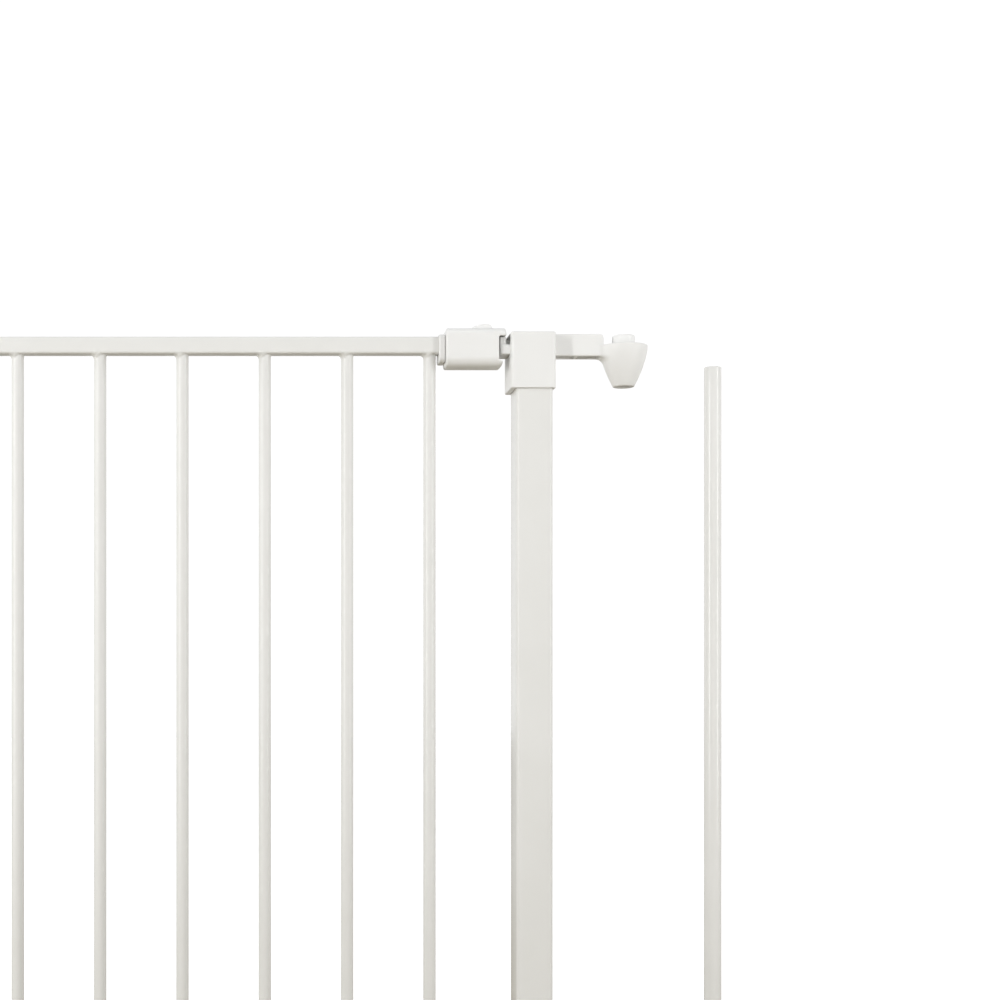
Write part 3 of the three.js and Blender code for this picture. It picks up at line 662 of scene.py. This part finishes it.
# %% [markdown]
# ## Weld beads
# Each bar is welded to a rail from one side only: the bead starts at the back, runs round the left
# of the bar and dies out at the front right. It fills the corner between bar and rail, up to the
# rail's lower edge, with the faint ripple that the torch leaves. The bead is the fillet between two
# distances, whose radius changes with the direction round the bar, sunk by a hair where it is thin.

# %% Bead shape
bar_low, bar_high = span("bar_1")
rail_low, rail_high = span("top_rail")
BAR_RADIUS = (bar_high[0] - bar_low[0]) / 2
RAIL_HALF = (rail_high[2] - rail_low[2]) / 2
BEAD_RADIUS, BEAD_SUNK, BEAD_RIPPLE = 4.4, 0.07, 0.13
BEAD_REACH = BAR_RADIUS + BEAD_RADIUS


def weld_bead(x, y, z):
    """Fillet under a rail whose underside is z = 0, round a bar on the upright axis."""
    bar = disc(x, y, BAR_RADIUS)
    rail = rectangle(y, z - RAIL_HALF, RAIL_HALF, RAIL_HALF, RAIL_CORNER)
    side = x / np.maximum(np.hypot(x, y), 0.1)
    share = np.clip((0.72 - side) / 1.3, 0, 1)
    share = share * share * (3 - 2 * share)
    plain = np.minimum(bar, rail)
    fillet = blend_join(bar, rail, 0.02 + BEAD_RADIUS * share)
    ripple = BEAD_RIPPLE * np.sin(7 * np.arctan2(y, -x) + 1.5 * z) * np.clip((plain - fillet) / 0.8, 0, 1)
    bead = np.maximum(fillet + BEAD_SUNK - ripple, -plain - 0.9)
    return np.maximum(bead, np.maximum(np.hypot(x, y) - BEAD_REACH, slab(z, -BEAD_REACH + 3, 3)))


BEAD_STEP = 0.33
bead_points, bead_quads = level_surface(
    weld_bead, (-BEAD_REACH, -BEAD_REACH, -BEAD_REACH + 3), (BEAD_REACH, BEAD_REACH, 3), BEAD_STEP)
for name in uprights:
    axis_x = middle(name)[0]
    for level, height, up in (("top", rail_low[2], 1), ("bottom", span("bottom_rail")[1][2], -1)):
        points = bead_points * (1, 1, up) + (axis_x, 0, height)
        quads = bead_quads if up > 0 else bead_quads[:, ::-1]
        dress(make_piece(f"{name}_{level}_weld", points, quads), "door", powder_coat, "white_steel")

# %% [markdown]
# ## Collar, handle and thumb slider
# The lock grips the end of the top rail. A collar closes the gap to the last bar. The handle is two
# shells that meet in the middle and are screwed together from the back, with a mouth at the post end
# where the bolt comes out. Its section has round corners, tighter above than below, and its lower
# lip is shorter than the upper one. On top sits the thumb slider, a wedge that pulls the bolt back.

# %% Collar
COLLAR_CORNER = 4.0
collar_low, collar_high = span("lock_collar")
collar_half = (collar_high - collar_low) / 2
rail_axis_z = middle("top_rail")[2]
drop = middle("lock_collar")[2] - rail_axis_z
passage = box_section(RAIL_HALF + FIT, RAIL_HALF + FIT, RAIL_CORNER + FIT)
collar_points = hollow(
    box_section(collar_half[2], collar_half[1], COLLAR_CORNER), lambda inset: passage(inset) + (drop, 0),
    4.0, -collar_half[0], collar_half[0], rim=1.1, spans=3)
dress(
    tube_piece("lock_collar_moulding", collar_points, middle("lock_collar"), LYING), "door",
    moulded_white, "white_plastic", "lock_collar")

# %% Handle sizes
front_low, front_high = span("handle_front_shell")
HANDLE_X, HANDLE_LENGTH = front_low[0], front_high[0] - front_low[0]
HANDLE_Z, HANDLE_HALF_Z = (front_low[2] + front_high[2]) / 2, (front_high[2] - front_low[2]) / 2
HANDLE_HALF_Y = -front_low[1]
HANDLE_WALL, TOP_CORNER, BOTTOM_CORNER, LEFT_EDGE = 2.4, 5.5, 8.0, 2.0
MOUTH_X, MOUTH_LOW, MOUTH_HIGH = HANDLE_LENGTH - 6.3, -11.3, 9.2
LIP_SHORTER = 2.9
SHELL_GAP = 0.3
SHELL_SCREWS, SHELL_SCREW_Z = (9.0, 37.0), -HANDLE_HALF_Z + 5.4


# %% Handle shape
def handle_outside(x, y, z):
    """Rounded bar along x from 0 to its length. Its far end is set back below the mouth."""
    corner = np.where(z > 0, TOP_CORNER, BOTTOM_CORNER)
    section = rectangle(y, z, HANDLE_HALF_Y, HANDLE_HALF_Z, corner)
    lower = np.clip((2 - z) / 6, 0, 1)
    end = HANDLE_LENGTH - LIP_SHORTER * lower * lower * (3 - 2 * lower)
    return blend_cut(blend_cut(section, x - end, 2.2), -x, LEFT_EDGE)


def handle_shell(x, y, z, front):
    """One half: the wall between the outside and a copy of it drawn in, plus its screw bosses."""
    outside = handle_outside(x, y, z)
    wall = np.maximum(outside, -(outside + HANDLE_WALL))
    for place in SHELL_SCREWS:
        boss = disc(x - place, z - SHELL_SCREW_Z, 2.7)
        wall = np.minimum(wall, np.maximum(boss, outside + 0.4))
    rail_hole = block(x, y, z - rail_axis_z + HANDLE_Z, (-9, -7.6, -7.6), (9, 7.6, 7.6), 2.0)
    wall = cut(wall, rail_hole)
    mouth = block(x, y, z, (MOUTH_X, -40, MOUTH_LOW), (HANDLE_LENGTH + 9, 40, MOUTH_HIGH), 1.2)
    wall = cut(wall, mouth, 1.1)
    wall = cut(wall, block(x, y, z, (SLOT_START, -3.5, 0), (SLOT_END, 3.5, 40), 0.5), 0.4)
    for place in SHELL_SCREWS:
        hole = disc(x - place, z - SHELL_SCREW_Z, 1.4 if not front else 1.1)
        wall = cut(wall, np.maximum(hole, y - 30 if not front else -9 - y), 0.2)
        if not front:
            sink = np.maximum(disc(x - place, z - SHELL_SCREW_Z, 2.5), HANDLE_HALF_Y - 4 - y)
            wall = cut(wall, sink, 0.3)
    half = y + SHELL_GAP / 2 if front else SHELL_GAP / 2 - y
    return blend_cut(wall, half, 0.3)


stem_x = span("latch_bolt")[0][0] + 5.0
SLOT_START, SLOT_END = stem_x - 11.5 - HANDLE_X, stem_x + 3.5 - HANDLE_X
for half_name, front in (("front", True), ("back", False)):
    node = f"handle_{half_name}_shell"
    low, high = span(node)
    mould(
        node, lambda x, y, z, f=front: handle_shell(x - HANDLE_X, y, z - HANDLE_Z, f),
        low, high, 0.45, "door")

# %% [markdown]
# ## Bolt and slider
# The bolt slides in the lock core and ends in the slot of the post fitting. Its head is as wide as
# the slot, its neck is slim, and a nose stands on the head and fills the upper part of the handle's
# mouth. The slider is a soft wedge: a long ramp for the thumb, a flat crest, and a steep end to pull
# against. Both are one moulding each.

# %% Bolt
bolt_low, bolt_high = span("latch_bolt")
HEAD_LENGTH, NOSE_LENGTH, TAIL_LENGTH = 12.4, 5.2, 10.0
NOSE_FRONT, NOSE_BACK, TAIL_HALF_Y, NECK_HALF_Y = -11.5, 4.0, 8.0, 3.2
HEAD_X, HEAD_HALF_Y = bolt_high[0] - HEAD_LENGTH, bolt_high[1]
NOSE_HIGH = HANDLE_X + HANDLE_LENGTH
NOSE_LOW = NOSE_HIGH - NOSE_LENGTH


def bolt_shape(x, y, z):
    """Head, neck, tail and nose, with x and z measured in the gate's frame."""
    low, high = bolt_z - BOLT_HEIGHT / 2, bolt_z + BOLT_HEIGHT / 2
    head = block(x, y, z, (HEAD_X, -HEAD_HALF_Y, low), (bolt_high[0], HEAD_HALF_Y, high), 1.3)
    neck_low, neck_high = (bolt_low[0] + 8, -NECK_HALF_Y, low + 0.6), (HEAD_X + 3, NECK_HALF_Y, high - 0.6)
    neck = block(x, y, z, neck_low, neck_high, 0.6)
    tail_end = bolt_low[0] + TAIL_LENGTH
    tail = block(x, y, z, (bolt_low[0], -TAIL_HALF_Y, low), (tail_end, TAIL_HALF_Y, high), 1.0)
    nose = block(x, y, z, (NOSE_LOW, NOSE_FRONT, bolt_z), (NOSE_HIGH, NOSE_BACK, bolt_high[2]), 0.9)
    solid = blend_join(np.minimum(head, tail), neck, 0.5)
    solid = blend_join(solid, nose, 0.4)
    stem_hole = block(x - stem_x, y, z, (-1.8, -1.8, high - 5), (1.8, 1.8, high + 5), 0.2)
    return cut(solid, stem_hole)


# The bolt gets the brighter white: painted light for the shade that it sits in.
mould("latch_bolt", bolt_shape, bolt_low, bolt_high, 0.34, "latch", bolt_white_painted_light)

# %% Thumb slider
slider_low, slider_high = span("thumb_slider")
SLIDER_BASE = HANDLE_Z + HANDLE_HALF_Z + FIT
SLIDER_HEIGHT = slider_high[2] - SLIDER_BASE
SLIDER_LENGTH = slider_high[0] - slider_low[0]
RAMP_END, FALL_START = 9.6, 13.8


def slider_shape(x, y, z):
    """Wedge whose top follows a smooth step up the ramp and another down the steep end."""
    along = x - slider_low[0]
    up = np.clip(along / RAMP_END, 0, 1)
    down = np.clip((along - FALL_START) / (SLIDER_LENGTH - FALL_START), 0, 1)
    crest = 1.1 + (SLIDER_HEIGHT - 1.1) * up * (1.6 - 0.6 * up) - (SLIDER_HEIGHT - 0.7) * down * down
    wedge = (z - SLIDER_BASE - crest) * 0.85
    foot = np.maximum(slab(along, 0, SLIDER_LENGTH), SLIDER_BASE - z)
    wedge = blend_cut(wedge, blend_cut(foot, np.abs(y) - 6.5, 0.7), 0.7)
    stem = block(x - stem_x, y, z, (-3, -3, slider_low[2] + 3), (3, 3, SLIDER_BASE + 1), 0.3)
    tongue = block(x - stem_x, y, z, (-1.5, -1.5, slider_low[2]), (1.5, 1.5, SLIDER_BASE), 0.3)
    return np.minimum(wedge, np.minimum(stem, tongue))


mould("thumb_slider", slider_shape, slider_low, slider_high, 0.3, "latch")

# %% [markdown]
# ## Hinge socket, catch cup and hinge bushes
# The lower hinge stands in a socket that is screwed to the threshold, and the lock side of the door
# drops a catch pin into a cup. The nylon bushes are round outside, to turn in the lug and the
# socket, and square inside, so that they turn with the square pins.

# %% Socket and cup
TAB_THICK, TAB_HALF = 4.0, 8.0


def pad(name, bore, depth, tab_sign):
    """A block with a round pocket from above, and a screw tab on one side."""
    low, high = span(name)
    centre_x = middle({"lower_hinge_socket": "lower_hinge_bush", "catch_cup": "catch_pin"}[name])[0]
    screw_x = middle({"lower_hinge_socket": "socket_screw", "catch_cup": "catch_screw"}[name])[0]
    body_end = 2 * centre_x - (low[0] if tab_sign > 0 else high[0])
    half_x = abs(body_end - centre_x)

    def shape(x, y, z):
        outline = rectangle(x - centre_x, y, half_x, high[1], 4.0)
        body = blend_cut(outline, slab(z, low[2], high[2]), 1.0)
        tab_ends = sorted((centre_x, high[0] if tab_sign > 0 else low[0]))
        tab = np.maximum(np.abs(y) - TAB_HALF, slab(x, *tab_ends))
        tab = blend_cut(tab, slab(z, low[2], low[2] + TAB_THICK), 0.8)
        solid = blend_join(body, tab, 1.5)
        solid = cut(solid, np.maximum(disc(x - centre_x, y, bore), low[2] + depth - z), 0.5)
        return cut(solid, disc(x - screw_x, y, SCREW_HOLE), 0.3)

    return mould(name, shape, low, high, 0.5, "frame")


pad("lower_hinge_socket", HINGE_BORE, 2.0, 1)
pad("catch_cup", 4.3, 3.0, -1)

# %% Hinge bushes
BUSH_RADIUS, PIN_HOLE = 6.5, 7.6
for name in ("upper_hinge_bush", "lower_hinge_bush"):
    low, high = span(name)

    def bush_shape(x, y, z, low=low, high=high):
        rim = disc(x - hinge_x, y, (high[0] - low[0]) / 2)
        flange = blend_cut(rim, slab(z, high[2] - FLANGE, high[2]), 0.4)
        sleeve = blend_cut(disc(x - hinge_x, y, BUSH_RADIUS), slab(z, low[2], high[2] - 0.2), 0.4)
        square = rectangle(x - hinge_x, y, PIN_HOLE / 2, PIN_HOLE / 2, 0.4)
        return cut(np.minimum(flange, sleeve), square, 0.3)

    mould(name, bush_shape, low, high, 0.4, "hinge_bushes", nylon, "nylon")

# %% [markdown]
# ## Plugs, catch pin and screws
# The open tube ends are closed by push-in plugs. The pan-head screws have a domed head with a
# crossed recess and a real thread, whose radius rises and falls once a turn.


# %% Plugs and catch pin
def rail_plug(name, outward):
    """Square rim on the rail's end and a stub inside it."""
    low, high = span(name)
    centre = (low + high) / 2
    half = RAIL_HALF
    rim = sorted((high[0] if outward > 0 else low[0], (high[0] if outward > 0 else low[0]) - outward * 1.6))
    stub = half - RAIL_WALL - FIT

    def shape(x, y, z):
        plate = blend_cut(rectangle(y, z - centre[2], half, half, RAIL_CORNER), slab(x, *rim), 0.6)
        core = np.maximum(rectangle(y, z - centre[2], stub, stub, 0.8), slab(x, low[0], high[0]))
        return np.minimum(plate, core)

    return mould(name, shape, low, high, 0.4, "door")


rail_plug("top_rail_plug", -1)
rail_plug("bottom_rail_hinge_plug", -1)
rail_plug("bottom_rail_lock_plug", 1)


def round_peg(name, body, material, slot, rounding, step):
    """A solid peg that fills its CAD node's box, with rounded ends."""
    low, high = span(name)
    centre, radius = (low + high) / 2, (high[0] - low[0]) / 2

    def shape(x, y, z):
        return blend_cut(disc(x - centre[0], y, radius), slab(z, low[2], high[2]), rounding)

    return mould(name, shape, low, high, step, body, material, slot)


round_peg("catch_pin", "door", zinc, "zinc", 1.4, 0.35)
for name in ("rod_lower_plug", "rod_upper_plug"):
    round_peg(name, "rod", moulded_white, "white_plastic", 0.5, 0.45)


# %% Screws
def screw_shape(across_u, across_v, along, head, head_height, shank, length):
    """Pan-head screw: along is height over the seat, so the shank is below zero.
    The dome is a flattened ball, and the thread is a wave in the radius that climbs with the angle."""
    radius = np.hypot(across_u, across_v)
    dome = np.sqrt((radius / head) ** 2 + (np.maximum(along, 0) / head_height) ** 2 * 0.9) - 1
    cap = np.maximum(blend_cut(dome * head * 0.7, along - head_height, 0.3), -along)
    pitch = 1.1
    wave = 0.16 * np.sin(2 * np.pi * along / pitch - np.arctan2(across_v, across_u))
    stem = np.maximum((radius - shank + 0.16 - wave) * 0.8, slab(along, -length, 0.3))
    cross = np.minimum(
        np.maximum(np.abs(across_u) - 0.45, np.abs(across_v) - head * 0.55),
        np.maximum(np.abs(across_v) - 0.45, np.abs(across_u) - head * 0.55))
    recess = np.maximum(cross, head_height * 0.45 - along)
    return cut(np.minimum(cap, stem), recess, 0.1)


def screw_piece(name, body, upright, step=0.22):
    """Screw that fills its CAD node's box, standing up or looking out of the back."""
    low, high = span(name)
    centre, head = (low + high) / 2, (high[0] - low[0]) / 2
    head_height, shank = (2.0, 1.7) if head > 3 else (1.6, 1.1)
    axis = 2 if upright else 1
    seat, length = high[axis] - head_height, high[axis] - head_height - low[axis]

    def shape(x, y, z):
        if upright:
            return screw_shape(x - centre[0], y, z - seat, head, head_height, shank, length)
        return screw_shape(z - centre[2], x - centre[0], y - seat, head, head_height, shank, length)

    return mould(name, shape, low, high, step, body, zinc, "zinc")


for side in ("left", "right"):
    screw_piece(f"top_{side}_fitting_screw", "frame", False)
    screw_piece(f"bottom_{side}_fitting_screw", "frame", False)
screw_piece("socket_screw", "frame", True)
screw_piece("catch_screw", "frame", True)
screw_piece("handle_screw_1", "door", False)
screw_piece("handle_screw_2", "door", False)

# %% [markdown]
# ## Latch spring
# A wound wire spring sits between the lock core and the bolt's tail. A Screw modifier could wind it,
# but its ends would stay open. Here a small circle is carried along the helix and both ends are
# closed with a few flat faces.

# %% Spring
spring_low, spring_high = span("latch_spring")
WIRE_RADIUS, SPRING_TURNS, WIRE_SIDES, STEPS_A_TURN = 0.4, 4, 12, 40


def spring_grid():
    """The wire's circle at t from 0 to 1 has its centre at (t L, r cos 2 pi n t, r sin 2 pi n t)."""
    coil = (spring_high[2] - spring_low[2]) / 2 - WIRE_RADIUS
    first, last = spring_low[0] + WIRE_RADIUS, spring_high[0] - WIRE_RADIUS
    t = np.linspace(0, 1, SPRING_TURNS * STEPS_A_TURN + 1)
    angle = 2 * np.pi * SPRING_TURNS * t
    out = np.column_stack([np.zeros_like(t), np.cos(angle), np.sin(angle)])
    axis = np.column_stack([first + (last - first) * t, np.zeros_like(t), np.full_like(t, bolt_z)])
    centre = axis + out * coil
    way = np.gradient(centre, axis=0)
    way /= np.linalg.norm(way, axis=1)[:, None]
    across = np.cross(way, out)
    turn = np.linspace(0, 2 * np.pi, WIRE_SIDES, endpoint=False)
    ring = np.cos(turn)[None, :, None] * out[:, None] + np.sin(turn)[None, :, None] * across[:, None]
    return centre[:, None] + WIRE_RADIUS * ring


def closed_quads(rows, columns):
    """Faces of a tube grid that wraps round only, with each end closed by a strip of quads."""
    sides = wrapped_quads(rows, columns)[: (rows - 1) * columns]
    left = np.arange(columns // 2 - 1)
    cap = np.stack([left, left + 1, columns - 2 - left, columns - 1 - left], axis=-1)
    return np.concatenate([sides, cap[:, ::-1], cap + (rows - 1) * columns])


def volume(points, quads):
    """Signed volume: a sixth of the sum of a . (b x c) over the triangles."""
    a, b, c, d = (points[quads[:, k]] for k in range(4))
    return (np.einsum("ij,ij->", a, np.cross(b, c)) + np.einsum("ij,ij->", a, np.cross(c, d))) / 6


grid = spring_grid()
spring_points, spring_quads = grid.reshape(-1, 3), closed_quads(*grid.shape[:2])
if volume(spring_points, spring_quads) < 0:
    spring_quads = spring_quads[:, ::-1]
print(f"spring wire volume {volume(spring_points, spring_quads):.1f} cubic mm")
spring_piece = dress(
    make_piece("latch_spring_wound", spring_points, spring_quads), "door",
    wire, "spring_steel", "latch_spring")
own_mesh(spring_piece)

# %% [markdown]
# ## Hidden pieces
# The hinge pins and the lock core lie inside other pieces. Their CAD shapes are right, so they stay
# as they are and only get the proper finish.

# %% Finishes for the hidden CAD nodes
for name, material, slot in (
        ("upper_hinge_pin", zinc, "zinc"), ("lower_hinge_pin", zinc, "zinc"),
        ("lock_core", moulded_white, "white_plastic")):
    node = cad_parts[name]
    node.data.materials.clear()
    node.data.materials.append(material)
    print(name, "keeps its shape in", material.name)

# %% [markdown]
# ## Stage, light and camera
# White goods are shown on white: the camera sees a bright, even surround, while the light itself
# comes mostly from the upper left, so that round bars keep a bright line and a darker flank. The floor
# looks white to the camera but sends up only a dim warm light, which is what leaves undersides dark.

# %% Camera
LENS = 55.08
camera_data = bpy.data.cameras.new("camera")
camera_data.lens, camera_data.sensor_width = LENS, 36
camera_data.shift_x, camera_data.shift_y = 0.235, 0.145
camera_data.clip_start, camera_data.clip_end = 0.01, 50
camera = bpy.data.objects.new("camera", camera_data)
camera.location = (0.05515, -1.301, 0.442)
camera.rotation_euler = (math.pi / 2, 0, 0)
bpy.context.scene.collection.objects.link(camera)
bpy.context.scene.camera = camera
print("camera at", tuple(round(v, 3) for v in camera.location))


# %% Surround
def studio_world():
    """White for the camera. For every other ray, brightness falls from the upper left front
    to the lower right, by the direction's height and side."""
    world = bpy.data.worlds.new("studio")
    bpy.context.scene.world = world
    world.use_nodes = True
    tree = world.node_tree
    tree.nodes.clear()
    output = tree.nodes.new("ShaderNodeOutputWorld")
    mix = tree.nodes.new("ShaderNodeMixShader")
    path = tree.nodes.new("ShaderNodeLightPath")
    seen = tree.nodes.new("ShaderNodeBackground")
    seen.inputs["Color"].default_value = (1, 1, 1, 1)
    seen.inputs["Strength"].default_value = 1.05
    dome = tree.nodes.new("ShaderNodeBackground")
    place = tree.nodes.new("ShaderNodeTexCoord")
    split = tree.nodes.new("ShaderNodeSeparateXYZ")
    tree.links.new(place.outputs["Generated"], split.inputs["Vector"])
    terms = []
    for axis, weight in (("X", -0.06), ("Z", -0.46)):
        term = tree.nodes.new("ShaderNodeMath")
        term.operation = "MULTIPLY"
        term.inputs[1].default_value = weight
        tree.links.new(split.outputs[axis], term.inputs[0])
        terms.append(term.outputs[0])
    total = terms[0]
    for term in terms[1:]:
        join = tree.nodes.new("ShaderNodeMath")
        tree.links.new(total, join.inputs[0])
        tree.links.new(term, join.inputs[1])
        total = join.outputs[0]
    base = tree.nodes.new("ShaderNodeMath")
    base.inputs[1].default_value = 0.92
    tree.links.new(total, base.inputs[0])
    dome.inputs["Color"].default_value = (0.99, 0.995, 1.0, 1)
    tree.links.new(base.outputs[0], dome.inputs["Strength"])
    tree.links.new(path.outputs["Is Camera Ray"], mix.inputs["Fac"])
    tree.links.new(dome.outputs[0], mix.inputs[1])
    tree.links.new(seen.outputs[0], mix.inputs[2])
    tree.links.new(mix.outputs[0], output.inputs["Surface"])


studio_world()


# %% Floor
def studio_floor():
    """A wide pale floor: white with soft shadows to the camera, dim and warm to other rays."""
    half = 6.0
    mesh = bpy.data.meshes.new("floor")
    corners = [(-half, -half, 0), (half, -half, 0), (half, half, 0), (-half, half, 0)]
    mesh.from_pydata(corners, [], [(0, 1, 2, 3)])
    floor = bpy.data.objects.new("floor", mesh)
    bpy.context.scene.collection.objects.link(floor)
    material = bpy.data.materials.new("studio_floor")
    material.use_nodes = True
    tree = material.node_tree
    tree.nodes.clear()
    output = tree.nodes.new("ShaderNodeOutputMaterial")
    path = tree.nodes.new("ShaderNodeLightPath")
    mix = tree.nodes.new("ShaderNodeMixShader")
    seen = tree.nodes.new("ShaderNodeBsdfDiffuse")
    seen.inputs["Color"].default_value = (1, 1, 1, 1)
    glow = tree.nodes.new("ShaderNodeEmission")
    glow.inputs["Strength"].default_value = 0.45
    both = tree.nodes.new("ShaderNodeAddShader")
    bounce = tree.nodes.new("ShaderNodeBsdfDiffuse")
    place = tree.nodes.new("ShaderNodeTexCoord")
    away = tree.nodes.new("ShaderNodeVectorMath")
    away.operation = "LENGTH"
    tree.links.new(place.outputs["Object"], away.inputs[0])
    far = tree.nodes.new("ShaderNodeMapRange")
    for socket, number in zip(("From Min", "From Max"), (0.5, 1.8)):
        far.inputs[socket].default_value = number
    tree.links.new(away.outputs["Value"], far.inputs["Value"])
    near_far = tone(tree, far.outputs["Result"], (0.27, 0.22, 0.12), (0.74, 0.72, 0.68))
    tree.links.new(near_far, bounce.inputs["Color"])
    tree.links.new(seen.outputs[0], both.inputs[0])
    tree.links.new(glow.outputs[0], both.inputs[1])
    tree.links.new(path.outputs["Is Camera Ray"], mix.inputs["Fac"])
    tree.links.new(bounce.outputs[0], mix.inputs[1])
    tree.links.new(both.outputs[0], mix.inputs[2])
    tree.links.new(mix.outputs[0], output.inputs["Surface"])
    mesh.materials.append(material)
    return floor


studio_floor()


# %% Softboxes
def softbox(name, place, target, size, power, colour=(1, 1, 1)):
    """A rectangular area light that faces a point."""
    data = bpy.data.lights.new(name, "AREA")
    data.shape, data.size, data.size_y = "RECTANGLE", size[0], size[1]
    data.energy, data.color = power, colour
    lamp = bpy.data.objects.new(name, data)
    lamp.location = place
    way = np.array(target) - np.array(place)
    lamp.rotation_mode = "QUATERNION"
    lamp.rotation_quaternion = Vector(way).to_track_quat("-Z", "Y")
    bpy.context.scene.collection.objects.link(lamp)
    return lamp


gate_middle = (0.15, 0, 0.5)
softbox("key", (-2.4, -1.65, 0.8), gate_middle, (0.16, 2.2), 42)
softbox("fill", (2.3, -1.4, 0.8), gate_middle, (0.14, 2.0), 22)
softbox("front", (-0.2, -3.4, 0.55), gate_middle, (3.0, 1.1), 3)
bpy.context.scene.view_settings.view_transform = "Standard"
